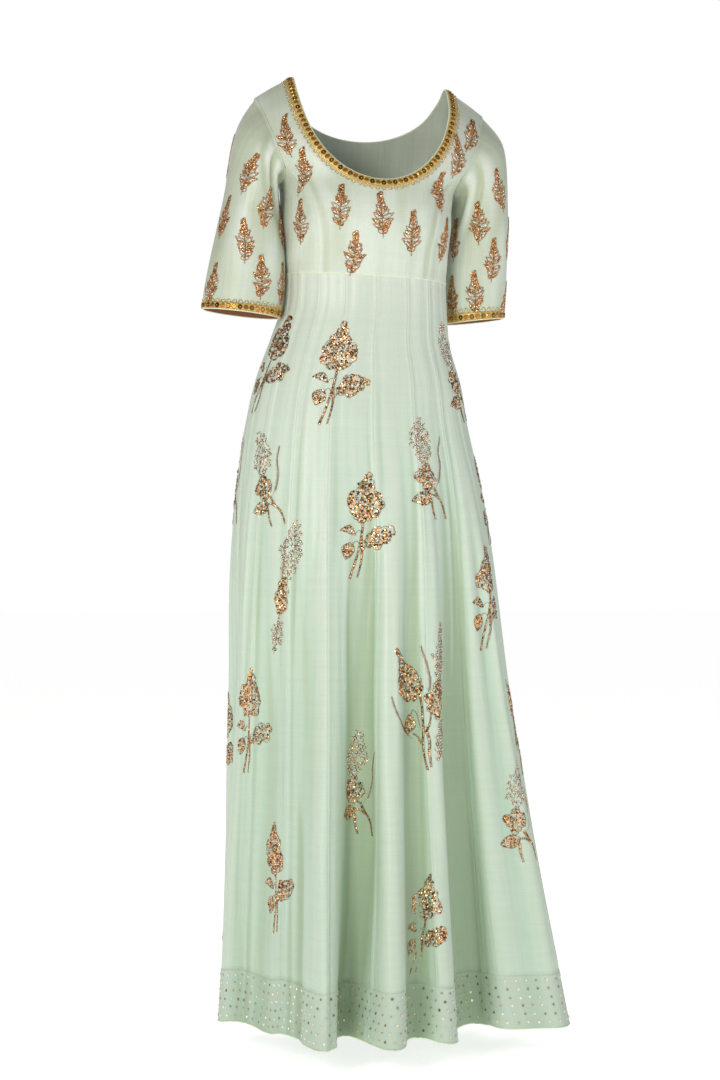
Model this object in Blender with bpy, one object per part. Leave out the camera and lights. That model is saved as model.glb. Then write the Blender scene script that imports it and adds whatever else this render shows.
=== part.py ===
"""Anarkali gown, worn: a fitted bodice, elbow sleeves and a skirt of eighteen flared kalis with a hem band.

Metres, +Z up. The wearer faces -Y and the wearer's left is +X. The origin is midway between the shoulders.
Every piece is one closed wall of cloth with its own outline, a seam gap away from its neighbours.
"""

import math

import bpy
import numpy as np

# ---- Cloth ----
CLOTH = 0.0015  # wall of the silk pieces
FACING = 0.0010  # wall of the cuff facings
LACE = 0.0012  # wall of the gold trims
SEAM_GAP = 0.0003  # between neighbouring pieces
LACE_GAP = 0.0007  # under the neck trim
LACE_WIDTH = 0.012

# ---- Body of the garment ----
WAIST_Z = -0.307  # seam between bodice and skirt, under the bust
HIP_Z = -0.620
HEM_Z = -1.461
BAND_Z = -1.378  # seam between the kalis and the hem band
LEAN = 0.050  # the wearer's left shoulder hangs lower by this share of the width
SHOULDER_EDGE = 0.114  # the shoulder line is level inside this half-width
SHOULDER_SLOPE = 0.47
SHOULDER_CURVE = 2.0
BUST = {"x": 0.078, "z": -0.226, "spread": 0.042, "rise": 0.010}

# ---- Neck, half an ellipse seen from the front ----
NECK_HALF_WIDTH = 0.121
NECK_DEPTH = {"front": 0.164, "back": 0.085}
NECK_POWER = 2.2

# ---- Bodice, up the front, over the shoulder and down the back ----
# station, height, half-width, depth (front is negative), sideways shift, squareness
BODICE_ROWS = (
    (0.00, -0.307, 0.126, -0.095, -0.007, 2.2),
    (0.13, -0.268, 0.128, -0.106, -0.007, 2.2),
    (0.30, -0.222, 0.132, -0.117, -0.007, 2.3),
    (0.42, -0.188, 0.132, -0.117, -0.006, 2.4),
    (0.50, -0.164, 0.137, -0.112, -0.005, 2.4),
    (0.62, -0.128, 0.172, -0.101, -0.004, 2.4),
    (0.78, -0.078, 0.194, -0.078, -0.002, 2.4),
    (0.92, -0.028, 0.200, -0.044, -0.001, 2.3),
    (1.00, 0.000, 0.202, -0.002, 0.000, 2.3),
    (1.08, -0.020, 0.200, 0.040, -0.001, 2.3),
    (1.24, -0.072, 0.192, 0.074, -0.002, 2.4),
    (1.40, -0.128, 0.172, 0.092, -0.004, 2.4),
    (1.52, -0.164, 0.137, 0.097, -0.005, 2.4),
    (1.60, -0.188, 0.132, 0.097, -0.006, 2.4),
    (1.74, -0.222, 0.131, 0.094, -0.007, 2.3),
    (1.88, -0.268, 0.127, 0.089, -0.007, 2.2),
    (2.00, -0.307, 0.126, 0.085, -0.007, 2.2),
)
# height, share of the way from the centre line to the side seam
ARMHOLE_ROWS = (
    (-0.1680, 1.000),
    (-0.1665, 0.930),
    (-0.1600, 0.820),
    (-0.1480, 0.710),
    (-0.1300, 0.630),
    (-0.1000, 0.590),
    (-0.0600, 0.600),
    (-0.0250, 0.635),
    (0.0000, 0.670),
)
# height, half-width of the centre front at the princess seam
PRINCESS_ROWS = (
    (-0.3070, 0.0870),
    (-0.2680, 0.0890),
    (-0.2220, 0.0970),
    (-0.1880, 0.1060),
    (-0.1720, 0.1130),
    (-0.1600, 0.1230),
    (-0.1520, 0.1350),
)

# ---- Skirt ----
KALIS = 18
KALIS_PER_BAND = 3
# height, right side, left side, front, back, squareness
SKIRT_ROWS = (
    (-0.307, -0.133, 0.119, 0.095, 0.085, 2.2),
    (-0.360, -0.137, 0.121, 0.098, 0.090, 2.2),
    (-0.400, -0.151, 0.124, 0.104, 0.098, 2.2),
    (-0.470, -0.177, 0.143, 0.116, 0.115, 2.2),
    (-0.530, -0.191, 0.152, 0.127, 0.127, 2.2),
    (-0.620, -0.204, 0.170, 0.142, 0.142, 2.2),
    (-1.000, -0.214, 0.212, 0.176, 0.186, 2.1),
    (-1.461, -0.224, 0.280, 0.200, 0.225, 2.0),
)
# fold line, place round the skirt in kalis from the centre front, x and y at the hem, height where it starts
FOLD_LINES = (
    ("ridge", -2.50, -0.174, -0.049, -0.46),
    ("trough", -2.00, -0.150, -0.111, -0.50),
    ("ridge", -1.40, -0.137, -0.202, -0.46),
    ("ridge", -0.85, -0.101, -0.224, -0.46),
    ("trough", -0.42, -0.076, -0.147, -0.52),
    ("ridge", 0.38, -0.004, -0.249, -0.46),
    ("trough", 0.74, 0.030, -0.182, -0.46),
    ("ridge", 1.12, 0.081, -0.216, -0.44),
    ("trough", 1.65, 0.130, -0.074, -0.44),
    ("ridge", 2.30, 0.208, -0.091, -0.44),
    ("ridge", 3.00, 0.308, -0.053, -0.50),
    ("trough", 3.50, 0.290, 0.012, -0.50),
    ("ridge", 4.10, 0.334, 0.062, -0.50),
    ("trough", 4.70, 0.266, 0.075, -0.50),
    ("ridge", 5.40, 0.296, 0.151, -0.50),
    ("trough", 6.00, 0.221, 0.127, -0.48),
    ("ridge", 6.70, 0.226, 0.220, -0.48),
    ("trough", 7.30, 0.153, 0.167, -0.46),
    ("ridge", 8.00, 0.141, 0.256, -0.46),
    ("trough", 8.60, 0.077, 0.193, -0.46),
    ("ridge", 9.30, 0.054, 0.276, -0.46),
    ("trough", 9.90, -0.001, 0.206, -0.46),
    ("ridge", 10.60, -0.037, 0.276, -0.46),
    ("trough", 11.20, -0.078, 0.207, -0.46),
    ("ridge", 11.90, -0.127, 0.260, -0.48),
    ("trough", 12.50, -0.140, 0.183, -0.48),
    ("ridge", 13.20, -0.198, 0.207, -0.50),
    ("trough", 13.80, -0.176, 0.135, -0.50),
    ("ridge", 14.45, -0.222, 0.090, -0.48),
    ("trough", 15.05, -0.188, 0.012, -0.46),
)
FOLD_GROWTH = 1.25  # how a fold deepens from its start to the hem
FOLD_FULLNESS = 1.7  # roundness of ridges and troughs
TROUGH_LIFT = 0.006  # the hem rises in the troughs

# ---- Sleeves: rings below the armhole, the outer and inner ends of each ring ----
# outer x, outer z, inner x, inner z, half-depth, y of the middle; the wearer's right arm has x reversed
SLEEVE_ROWS = {
    "right": (
        (0.2075, -0.0915, 0.1450, -0.1800, 0.0660, 0.002),
        (0.2262, -0.1892, 0.1438, -0.2100, 0.0620, 0.000),
        (0.2373, -0.2375, 0.1430, -0.2420, 0.0580, -0.003),
        (0.2515, -0.2980, 0.1400, -0.2980, 0.0540, -0.008),
        (0.2607, -0.3430, 0.1415, -0.3440, 0.0520, -0.012),
        (0.2626, -0.3680, 0.1465, -0.3762, 0.0510, -0.014),
    ),
    "left": (
        (0.2130, -0.0850, 0.1345, -0.1800, 0.0660, 0.004),
        (0.2220, -0.1892, 0.1320, -0.2100, 0.0620, 0.008),
        (0.2230, -0.2375, 0.1300, -0.2420, 0.0580, 0.014),
        (0.2230, -0.2980, 0.1270, -0.2980, 0.0550, 0.022),
        (0.2220, -0.3350, 0.1270, -0.3430, 0.0530, 0.028),
        (0.2210, -0.3520, 0.1285, -0.3660, 0.0520, 0.030),
    ),
}
SIDE_SIGN = {"right": -1.0, "left": 1.0}
CUFF_ROWS = (5.0, 5.57, 6.0)  # the facing reaches up to the first, the gold lace to the second

# ---- Mesh density ----
# rows from the neck's lowest point to the shoulder, then the rows below the neck in front and behind
NECK_ANGLES = (0, 8, 15, 21, 29, 38, 47, 56, 65, 74, 82, 90)
FRONT_HEIGHTS = (-0.307, -0.285, -0.260, -0.235, -0.212, -0.190, -0.177, -0.1685, -0.1650)
BACK_HEIGHTS = (-0.307, -0.270, -0.230, -0.195, -0.175, -0.1665, -0.158, -0.140, -0.115)
KALI_COLUMNS = 6
BODICE_COLUMNS = 6
SLEEVE_COLUMNS = 24
SEAM_STEP = 1e-4  # step used to find a surface's direction

# ---- Materials: colour, roughness, metallic ----
FINISHES = {
    "silk": ((0.55, 0.68, 0.54, 1.0), 0.55, 0.0),
    "band_cloth": ((0.40, 0.54, 0.43, 1.0), 0.60, 0.0),
    "facing_cloth": ((0.25, 0.11, 0.05, 1.0), 0.65, 0.0),
    "gold_lace": ((0.58, 0.38, 0.12, 1.0), 0.35, 0.8),
}


def smooth(rows, at, loop=None, fullness=1.0):
    """Smooth curve through a table whose first column is the place; fullness above 1 rounds its turns."""
    rows = np.asarray(rows, float)
    at = np.asarray(at, float)
    places = rows[:, 0]
    values = rows[:, 1:]
    if loop is not None:
        places = np.concatenate([places[-2:] - loop, places, places[:2] + loop])
        values = np.concatenate([values[-2:], values, values[:2]])
        at = (at - places[2]) % loop + places[2]
    slopes = fullness * np.gradient(values, places, axis=0)
    index = np.clip(np.searchsorted(places, at, side="right") - 1, 0, len(places) - 2)
    span = places[index + 1] - places[index]
    share = ((at - places[index]) / span)[..., None]
    span = span[..., None]
    start = (1 + 2 * share) * (1 - share) ** 2
    leave = share * (1 - share) ** 2
    end = share**2 * (3 - 2 * share)
    arrive = share**2 * (share - 1)
    return (
        start * values[index]
        + leave * span * slopes[index]
        + end * values[index + 1]
        + arrive * span * slopes[index + 1]
    )


def ease(value, low, high):
    """Zero at low, one at high, smooth between."""
    share = np.clip((value - low) / (high - low), 0.0, 1.0)
    return share * share * (3.0 - 2.0 * share)


def bent(value, squareness):
    """A sine or cosine turned into its superellipse share."""
    return np.sign(value) * np.abs(value) ** (2.0 / squareness)


def lean(points):
    """The upper part tips towards the wearer's left, fading out at the hips."""
    fade = 1.0 - ease(-points[..., 2], -WAIST_Z, -HIP_Z)
    points[..., 2] = points[..., 2] - LEAN * fade * points[..., 0]
    return points


def normals(surface, u, v):
    """Outward directions of a surface whose u runs to the left seen from outside and v runs up."""
    across = surface(u + SEAM_STEP, v) - surface(u - SEAM_STEP, v)
    up = surface(u, v + SEAM_STEP) - surface(u, v - SEAM_STEP)
    out = np.cross(across, up)
    return out / np.maximum(np.linalg.norm(out, axis=-1, keepdims=True), 1e-12)


# ---- Bodice surface ----


def bodice(turn, station):
    """Point at turn -1 to 1 (side seam to side seam) and station 0 to 2 (front waist to back waist)."""
    turn, station = np.broadcast_arrays(np.asarray(turn, float), np.asarray(station, float))
    row = smooth(BODICE_ROWS, station)
    height, half, depth, shift, squareness = (row[..., column] for column in range(5))
    angle = turn * math.pi / 2
    x = half * bent(np.sin(angle), squareness)
    y = depth * bent(np.cos(angle), squareness)
    for side in (-1, 1):
        away = ((x - side * BUST["x"]) ** 2 + (height - BUST["z"]) ** 2) / (2 * BUST["spread"] ** 2)
        y = y - BUST["rise"] * np.exp(-away) * (depth < 0)
    beyond = np.maximum(np.abs(x) - SHOULDER_EDGE, 0.0)
    drop = SHOULDER_SLOPE * beyond + SHOULDER_CURVE * beyond**2
    height = height - drop * (1.0 - ease(np.abs(station - 1.0), 0.0, 0.45))
    return lean(np.stack([x + shift, y, height], axis=-1))


def turn_at(x, station):
    """Turn whose half-width from the centre line is x."""
    row = smooth(BODICE_ROWS, station)
    share = np.clip(np.asarray(x) / row[..., 1], -1.0, 1.0)
    return np.arcsin(bent(share, 4.0 / row[..., 4])) / (math.pi / 2)


def station_at(height, back):
    """Station of a height, on the front or on the back."""
    stations = np.linspace(1.0, 2.0 if back else 0.0, 400)
    heights = smooth(BODICE_ROWS, stations)[:, 0]
    return np.interp(-np.asarray(height), -heights, stations)


def height_at(station):
    return smooth(BODICE_ROWS, station)[..., 0]


def armhole_turn(station):
    """Turn of the armhole at a station; 1 below the underarm."""
    height = height_at(station)
    underarm = ARMHOLE_ROWS[0][0]
    edge = smooth(ARMHOLE_ROWS, np.maximum(height, underarm))[..., 0]
    return np.where(height <= underarm, 1.0, edge)


def neck_turn(station, back):
    """Turn of the neck edge at a station; 0 below the neck."""
    share = np.clip(-height_at(station) / NECK_DEPTH["back" if back else "front"], 0.0, 1.0)
    half = NECK_HALF_WIDTH * np.sqrt(np.maximum(1.0 - share**NECK_POWER, 0.0))
    return turn_at(half, station)


def princess_turn(station):
    """Turn of the princess seam, then of the armhole above it."""
    height = height_at(station)
    top = PRINCESS_ROWS[-1][0]
    seam = turn_at(smooth(PRINCESS_ROWS, np.minimum(height, top))[..., 0], station)
    blend = ease(height, top, top + 0.004)
    return seam * (1 - blend) + armhole_turn(station) * blend


# ---- Skirt surface ----


def skirt_base(kali, height):
    """Point of the unfolded skirt at a place round it, in kalis from the centre front."""
    row = smooth(sorted(SKIRT_ROWS), height)
    right, left, front, back, squareness = (row[..., column] for column in range(5))
    angle = 2 * math.pi * kali / KALIS
    x = (left + right) / 2 + (left - right) / 2 * bent(np.sin(angle), squareness)
    facing = bent(np.cos(angle), squareness)
    y = -facing * np.where(facing > 0, front, back)
    return np.stack([x, y, height + 0.0 * x], axis=-1)


def skirt(kali, height):
    """Point of the folded skirt; height is the unlifted one."""
    kali, height = np.broadcast_arrays(np.asarray(kali, float), np.asarray(height, float))
    table = [(place, x, y, start, kind == "trough") for kind, place, x, y, start in FOLD_LINES]
    fold = smooth(table, kali, loop=KALIS, fullness=FOLD_FULLNESS)
    base = skirt_base(kali, height)
    hem = skirt_base(kali, np.full(kali.shape, HEM_Z))
    start = fold[..., 2]
    share = np.maximum((start - height) / (start - HEM_Z), 0.0)
    growth = (share**FOLD_GROWTH * (0.55 + 0.45 * ease(share, 0.0, 0.5)))[..., None]
    points = base
    points[..., :2] += growth * (fold[..., :2] - hem[..., :2])
    points[..., 2] += TROUGH_LIFT * fold[..., 3] * ease(share, 0.3, 1.0)
    return lean(points)


# ---- Sleeve surface ----


def armhole_run(side, back):
    """One half of the armhole, from the shoulder down to the underarm: turns, stations and points."""
    places = np.linspace(0.0, 1.0, 240)
    heights = ARMHOLE_ROWS[0][0] * np.sin(places * math.pi / 2) ** 1.2
    stations = station_at(heights, back)
    turns = SIDE_SIGN[side] * armhole_turn(stations)
    return turns, stations, bodice(turns, stations)


def armhole(side, turn):
    """Armhole seam: turn 0 at the shoulder, 0.25 at the front, 0.5 at the underarm, 0.75 at the back."""
    turn = np.asarray(turn, float) % 1.0
    down = 1.0 - np.abs(turn * 2.0 - 1.0)
    halves = []
    for back in (False, True):
        run = armhole_run(side, back)[2]
        length = np.concatenate([[0.0], np.cumsum(np.linalg.norm(np.diff(run, axis=0), axis=1))])
        share = down * length[-1]
        halves.append(np.stack([np.interp(share, length, run[:, axis]) for axis in range(3)], axis=-1))
    return np.where((turn > 0.5)[..., None], halves[1], halves[0])


def sleeve(side, turn, row):
    """Point of a sleeve; row 0 is the armhole, and the others are the rings of its table."""
    turn, row = np.broadcast_arrays(np.asarray(turn, float), np.asarray(row, float))
    sign = SIDE_SIGN[side]
    angle = 2 * math.pi * turn
    rings = [armhole(side, turn)]
    for outer_x, outer_z, inner_x, inner_z, depth, middle_y in SLEEVE_ROWS[side]:
        outer = lean(np.array([sign * outer_x, middle_y, outer_z]))
        inner = lean(np.array([sign * inner_x, middle_y, inner_z]))
        cosine = np.cos(angle)[..., None]
        sideways = np.stack([0 * angle, -depth * np.sin(angle), 0 * angle], axis=-1)
        rings.append((outer + inner) / 2 + (outer - inner) / 2 * cosine + sideways)
    rings = np.array(rings).reshape(len(rings), -1, 3)
    slopes = np.gradient(rings, axis=0)
    index = np.clip(np.floor(row).astype(int), 0, len(rings) - 2).reshape(-1)
    each = np.arange(index.size)
    share = row.reshape(-1, 1) - index[:, None]
    start = (1 + 2 * share) * (1 - share) ** 2 * rings[index, each]
    leave = share * (1 - share) ** 2 * slopes[index, each]
    end = share**2 * (3 - 2 * share) * rings[index + 1, each]
    arrive = share**2 * (share - 1) * slopes[index + 1, each]
    return (start + leave + end + arrive).reshape(turn.shape + (3,))


def seam_outward(side):
    """Armhole points and, mitred where they meet, the outward directions of bodice and sleeve."""
    points = []
    bodice_out = []
    sleeve_out = []
    for back in (False, True):
        turns, stations, run = armhole_run(side, back)
        length = np.concatenate([[0.0], np.cumsum(np.linalg.norm(np.diff(run, axis=0), axis=1))])
        places = length / length[-1] / 2
        places = 1.0 - places if back else places
        points.append(run)
        bodice_out.append(normals(bodice, turns, stations))
        own = normals(lambda u, v: sleeve(side, u, v), places, np.full(places.shape, 2 * SEAM_STEP))
        sleeve_out.append(SIDE_SIGN[side] * own)
    points, bodice_out, sleeve_out = (np.concatenate(part) for part in (points, bodice_out, sleeve_out))
    alike = np.sum(bodice_out * sleeve_out, axis=1, keepdims=True)
    share = ease(alike, 0.0, 0.4)
    middle = bodice_out + sleeve_out
    middle /= np.maximum(np.sum(middle * bodice_out, axis=1, keepdims=True), 0.3)
    mitred = [own * (1 - share) + middle * share for own in (bodice_out, sleeve_out)]
    return points, mitred[0], mitred[1]


def nearest(points, table, values):
    gaps = np.linalg.norm(points[:, None, :] - table[None, :, :], axis=2)
    return values[np.argmin(gaps, axis=1)]


# ---- Walls ----


def clear_scene():
    for item in list(bpy.data.objects):
        bpy.data.objects.remove(item, do_unlink=True)


def make_material(name):
    colour, roughness, metallic = FINISHES[name]
    material = bpy.data.materials.new(name)
    material.use_nodes = True
    shader = material.node_tree.nodes["Principled BSDF"]
    shader.inputs["Base Color"].default_value = colour
    shader.inputs["Roughness"].default_value = roughness
    shader.inputs["Metallic"].default_value = metallic
    return material


def grid_quads(columns, rows, closed=False):
    """Quads of a grid whose points run row by row inside each column."""
    quads = []
    for column in range(columns if closed else columns - 1):
        beside = (column + 1) % columns
        for row in range(rows - 1):
            here = column * rows + row
            there = beside * rows + row
            quads.append((here, there, there + 1, here + 1))
    return quads


def wall(name, outer, inner, quads, finish):
    """One closed solid: the outer surface, the inner one turned round, and a rim along every open edge."""
    outer = outer.reshape(-1, 3)
    inner = inner.reshape(-1, 3)
    first = quads[len(quads) // 2]
    facing = np.cross(outer[first[2]] - outer[first[0]], outer[first[3]] - outer[first[1]])
    if np.dot(facing, outer[first[0]] - inner[first[0]]) < 0:
        quads = [quad[::-1] for quad in quads]
    count = len(outer)
    edges = {(quad[i], quad[(i + 1) % 4]) for quad in quads for i in range(4)}
    faces = list(quads)
    faces += [tuple(corner + count for corner in reversed(quad)) for quad in quads]
    faces += [(b, a, a + count, b + count) for a, b in sorted(edges) if (b, a) not in edges]
    mesh = bpy.data.meshes.new(name)
    mesh.from_pydata([tuple(point) for point in np.concatenate([outer, inner])], [], faces)
    mesh.materials.append(MATERIALS[finish])
    mesh.update()
    mesh.shade_smooth()
    mesh.set_sharp_from_angle(angle=math.radians(50))
    item = bpy.data.objects.new(name, mesh)
    bpy.context.scene.collection.objects.link(item)


def hold_back(points, out, column, distance):
    """Draw one side column of a grid back from its seam, square to the seam and along the cloth."""
    tangent = np.gradient(points[column], axis=0)
    away = np.cross(out[column], tangent)
    away /= np.maximum(np.linalg.norm(away, axis=-1, keepdims=True), 1e-12)
    beside = 1 if column == 0 else -2
    sign = np.sign(np.sum(away * (points[beside] - points[column]), axis=-1, keepdims=True))
    points[column] += sign * away * distance


# ---- Bodice pieces ----


def panel_grid(low_turn, high_turn, stations, columns):
    """Points and outward directions between two limits that change from station to station."""
    share = np.linspace(0.0, 1.0, columns + 1)[:, None]
    turns = low_turn[None, :] * (1 - share) + high_turn[None, :] * share
    stations = np.broadcast_to(stations, turns.shape)
    return bodice(turns, stations), normals(bodice, turns, stations)


def set_in(points, out, column, side, low):
    """Inward wall steps of an armhole edge, mitred to the sleeve's from row low on."""
    table, bodice_out, _ = SEAMS[side]
    out[column, low:] = nearest(points[column, low:], table, bodice_out)


def neck_stations(back):
    """Stations from the neck's lowest point to the shoulder, closer where the edge lies level."""
    depth = NECK_DEPTH["back" if back else "front"]
    return list(station_at(-depth * np.cos(np.radians(NECK_ANGLES)), back))


def two_halves(name, stations, open_from, edge_turn, armhole_from, back):
    """A centre panel: two halves joined on the centre line below the neck, held back where a seam runs."""
    points = []
    inner = []
    quads = []
    known = {}
    for side in ("right", "left"):
        sign = SIDE_SIGN[side]
        inside = np.where(np.arange(len(stations)) > open_from, neck_turn(stations, back), 0.0)
        outer, out = panel_grid(sign * inside, sign * edge_turn(stations), stations, BODICE_COLUMNS)
        set_in(outer, out, -1, side, armhole_from)
        hold_back(outer, out, -1, SEAM_GAP / 2)
        below = outer - CLOTH * out
        places = []
        for point, under in zip(outer.reshape(-1, 3), below.reshape(-1, 3)):
            key = tuple(np.round(point, 6))
            if key not in known:
                known[key] = len(points)
                points.append(point)
                inner.append(under)
            places.append(known[key])
        for quad in grid_quads(BODICE_COLUMNS + 1, len(stations)):
            quad = tuple(places[corner] for corner in quad)
            quads.append(quad if sign > 0 else quad[::-1])
    wall(name, np.array(points), np.array(inner), quads, "silk")


def front_stations():
    """Rows of the front pieces, shared so that their seam edges match."""
    low = list(station_at(np.array(FRONT_HEIGHTS), False))
    stations = np.array(low + neck_stations(False))
    stations[0] = SEAM_STEP
    stations[-1] = 1.0 - 5 * SEAM_STEP
    return stations


def bodice_front():
    stations = front_stations()
    armhole_from = int(np.argmax(height_at(stations) > PRINCESS_ROWS[-1][0]))
    two_halves("bodice_front", stations, len(FRONT_HEIGHTS), princess_turn, armhole_from, False)


def bodice_back():
    low = list(station_at(np.array(BACK_HEIGHTS), True))
    stations = np.array(low + neck_stations(True))
    stations[0] = 2.0 - SEAM_STEP
    stations[-1] = 1.0 + 5 * SEAM_STEP
    armhole_from = int(np.argmax(height_at(stations) > ARMHOLE_ROWS[0][0]))
    two_halves("bodice_back", stations, len(low), armhole_turn, armhole_from, True)


def bodice_side(side):
    """Side front under the princess seam, from the waist to the tip at the armhole."""
    sign = SIDE_SIGN[side]
    stations = front_stations()
    stations = stations[height_at(stations) < PRINCESS_ROWS[-1][0]]
    outer, out = panel_grid(sign * princess_turn(stations), sign * armhole_turn(stations), stations, 4)
    set_in(outer, out, -1, side, int(np.argmax(height_at(stations) > ARMHOLE_ROWS[0][0])))
    hold_back(outer, out, 0, SEAM_GAP / 2)
    hold_back(outer, out, -1, SEAM_GAP / 2)
    wall(f"bodice_side_{side}", outer, outer - CLOTH * out, grid_quads(*outer.shape[:2]), "silk")


def neck_trim(back):
    """Gold lace round the neck edge, lying on the bodice."""
    rising = np.radians(np.array(NECK_ANGLES[:-1] + (NECK_ANGLES[-1] - 0.25,)))
    angles = np.concatenate([-rising[:0:-1], rising])
    depth = NECK_DEPTH["back" if back else "front"]
    edge_x = NECK_HALF_WIDTH * np.sign(angles) * np.sqrt(1.0 - np.cos(angles) ** NECK_POWER)
    edge_z = -depth * np.cos(angles)
    slope_x = np.gradient(edge_x, angles)
    slope_z = np.gradient(edge_z, angles)
    speed = np.hypot(slope_x, slope_z)
    columns = []
    outs = []
    for share in (0.0, 0.5, 1.0):
        x = edge_x + LACE_WIDTH * share * slope_z / speed
        z = np.minimum(edge_z - LACE_WIDTH * share * slope_x / speed, -5 * SEAM_STEP)
        stations = station_at(z, back)
        turns = turn_at(x, stations)
        columns.append(bodice(turns, stations))
        outs.append(normals(bodice, turns, stations))
    base = np.array(columns)
    out = np.array(outs)
    name = "neck_trim_back" if back else "neck_trim_front"
    lifted = base + (LACE_GAP + LACE) * out
    wall(name, lifted, base + LACE_GAP * out, grid_quads(*base.shape[:2]), "gold_lace")


# ---- Sleeve pieces ----


def sleeve_grid(side, rows):
    turns = np.arange(SLEEVE_COLUMNS) / SLEEVE_COLUMNS
    grid_turn, grid_row = np.meshgrid(turns, rows, indexing="ij")
    points = sleeve(side, grid_turn, grid_row)
    below_seam = np.maximum(grid_row, 2 * SEAM_STEP)
    out = SIDE_SIGN[side] * normals(lambda u, v: sleeve(side, u, v), grid_turn, below_seam)
    return points, out


def sleeve_piece(side):
    rows = np.array([0.0, 0.3, 0.6, 1.0, 1.5, 2.0, 3.0, 4.0, *CUFF_ROWS])
    outer, out = sleeve_grid(side, rows)
    table, _, sleeve_out = SEAMS[side]
    out[:, 0] = nearest(outer[:, 0], table, sleeve_out)
    down = outer[:, 1] - outer[:, 0]
    outer[:, 0] += SEAM_GAP * down / np.linalg.norm(down, axis=-1, keepdims=True)
    quads = grid_quads(*outer.shape[:2], closed=True)
    wall(f"sleeve_{side}", outer, outer - CLOTH * out, quads, "silk")


def cuff_pieces(side):
    """The copper-brown facing inside the cuff and the gold lace outside it."""
    outer, out = sleeve_grid(side, np.array(CUFF_ROWS))
    quads = grid_quads(*outer.shape[:2], closed=True)
    face = outer - (CLOTH + SEAM_GAP) * out
    wall(f"cuff_facing_{side}", face, face - FACING * out, quads, "facing_cloth")
    outer, out = sleeve_grid(side, np.array(CUFF_ROWS[1:]))
    quads = grid_quads(*outer.shape[:2], closed=True)
    wall(f"cuff_trim_{side}", outer + (SEAM_GAP + LACE) * out, outer + SEAM_GAP * out, quads, "gold_lace")


# ---- Skirt pieces ----


def skirt_piece(name, first, last, heights, finish):
    """A stretch of the skirt between two places round it, in kalis, and down a list of heights."""
    places = np.linspace(first, last, (last - first) * KALI_COLUMNS + 1)
    grid_place, grid_height = np.meshgrid(places, heights, indexing="ij")
    outer = skirt(grid_place, grid_height)
    out = normals(skirt, grid_place, grid_height)
    hold_back(outer, out, 0, SEAM_GAP / 2)
    hold_back(outer, out, -1, SEAM_GAP / 2)
    wall(name, outer, outer - CLOTH * out, grid_quads(*outer.shape[:2]), finish)


def skirt_pieces():
    """Eighteen kalis and, below the band seam, one stretch of band for every three of them."""
    upper = [WAIST_Z - SEAM_GAP, -0.35, -0.40, -0.47, -0.53]
    heights = np.array(upper + list(np.linspace(-0.59, BAND_Z + SEAM_GAP / 2, 14)))
    for number in range(1, KALIS + 1):
        skirt_piece(f"kali_{number:02d}", number - 1, number, heights, "silk")
    heights = np.array([BAND_Z - SEAM_GAP / 2, (HEM_Z + BAND_Z) / 2, HEM_Z])
    for number in range(1, KALIS // KALIS_PER_BAND + 1):
        first = (number - 1) * KALIS_PER_BAND - 1
        skirt_piece(f"hem_band_{number}", first, first + KALIS_PER_BAND, heights, "band_cloth")


def main():
    bodice_front()
    bodice_back()
    neck_trim(back=False)
    neck_trim(back=True)
    for side in SIDE_SIGN:
        bodice_side(side)
        sleeve_piece(side)
        cuff_pieces(side)
    skirt_pieces()


clear_scene()
MATERIALS = {name: make_material(name) for name in FINISHES}
SEAMS = {side: seam_outward(side) for side in SIDE_SIGN}
main()
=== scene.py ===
# %% [markdown]
# # An anarkali gown in mint silk
#
# This lesson dresses a plain model of a long gown: a fitted bodice, elbow sleeves and a skirt sewn from
# eighteen flared panels, called kalis, with a dotted band at the hem. The plain model gives every piece its
# place. The lesson gives each one a finer cloth, its creases, its seams and its embroidery. Everything is
# in metres, +Z is up, the wearer faces -Y and the wearer's left is +X.

import math
from collections import namedtuple
from functools import partial

import bmesh
import bpy
import numpy as np
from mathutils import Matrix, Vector


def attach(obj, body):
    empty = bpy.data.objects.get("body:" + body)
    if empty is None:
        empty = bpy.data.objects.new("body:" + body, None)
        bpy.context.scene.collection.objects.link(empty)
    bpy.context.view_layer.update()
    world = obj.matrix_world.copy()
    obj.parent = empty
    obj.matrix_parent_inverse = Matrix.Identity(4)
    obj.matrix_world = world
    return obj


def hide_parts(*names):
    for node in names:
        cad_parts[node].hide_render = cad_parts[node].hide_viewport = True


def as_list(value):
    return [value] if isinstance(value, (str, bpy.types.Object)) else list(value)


for name in ("Cube", "Light", "Camera"):
    if name in bpy.data.objects:
        bpy.data.objects.remove(bpy.data.objects[name], do_unlink=True)
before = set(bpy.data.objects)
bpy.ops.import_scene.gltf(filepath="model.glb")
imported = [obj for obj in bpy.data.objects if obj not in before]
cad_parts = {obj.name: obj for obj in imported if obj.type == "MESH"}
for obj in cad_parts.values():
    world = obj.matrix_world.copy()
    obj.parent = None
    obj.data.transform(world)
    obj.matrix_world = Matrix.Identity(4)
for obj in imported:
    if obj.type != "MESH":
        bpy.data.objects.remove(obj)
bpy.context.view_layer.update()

# %% [markdown]
# ## Small helpers
# Colours are written as sRGB hex, as a dyer's or a screen's colour card gives them, and Blender's shaders
# want them linear, so one function turns them. A second function adds a node with its settings and its
# links, which keeps each material and each Geometry Nodes tree short enough to read.


# %% Colour and node helpers
def linear(code):
    """A hex colour such as #dce3d6 as linear RGBA."""
    parts = [int(code[i : i + 2], 16) / 255 for i in (1, 3, 5)]
    return tuple(c / 12.92 if c <= 0.04045 else ((c + 0.055) / 1.055) ** 2.4 for c in parts) + (1.0,)


def node(tree, kind, inputs=None, **settings):
    """A node of that kind; an input is a value, or a socket that it is linked to."""
    item = tree.nodes.new(kind)
    for key, value in settings.items():
        setattr(item, key, value)
    for key, value in (inputs or {}).items():
        if isinstance(value, bpy.types.NodeSocket):
            tree.links.new(value, item.inputs[key])
        else:
            item.inputs[key].default_value = value
    return item


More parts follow.
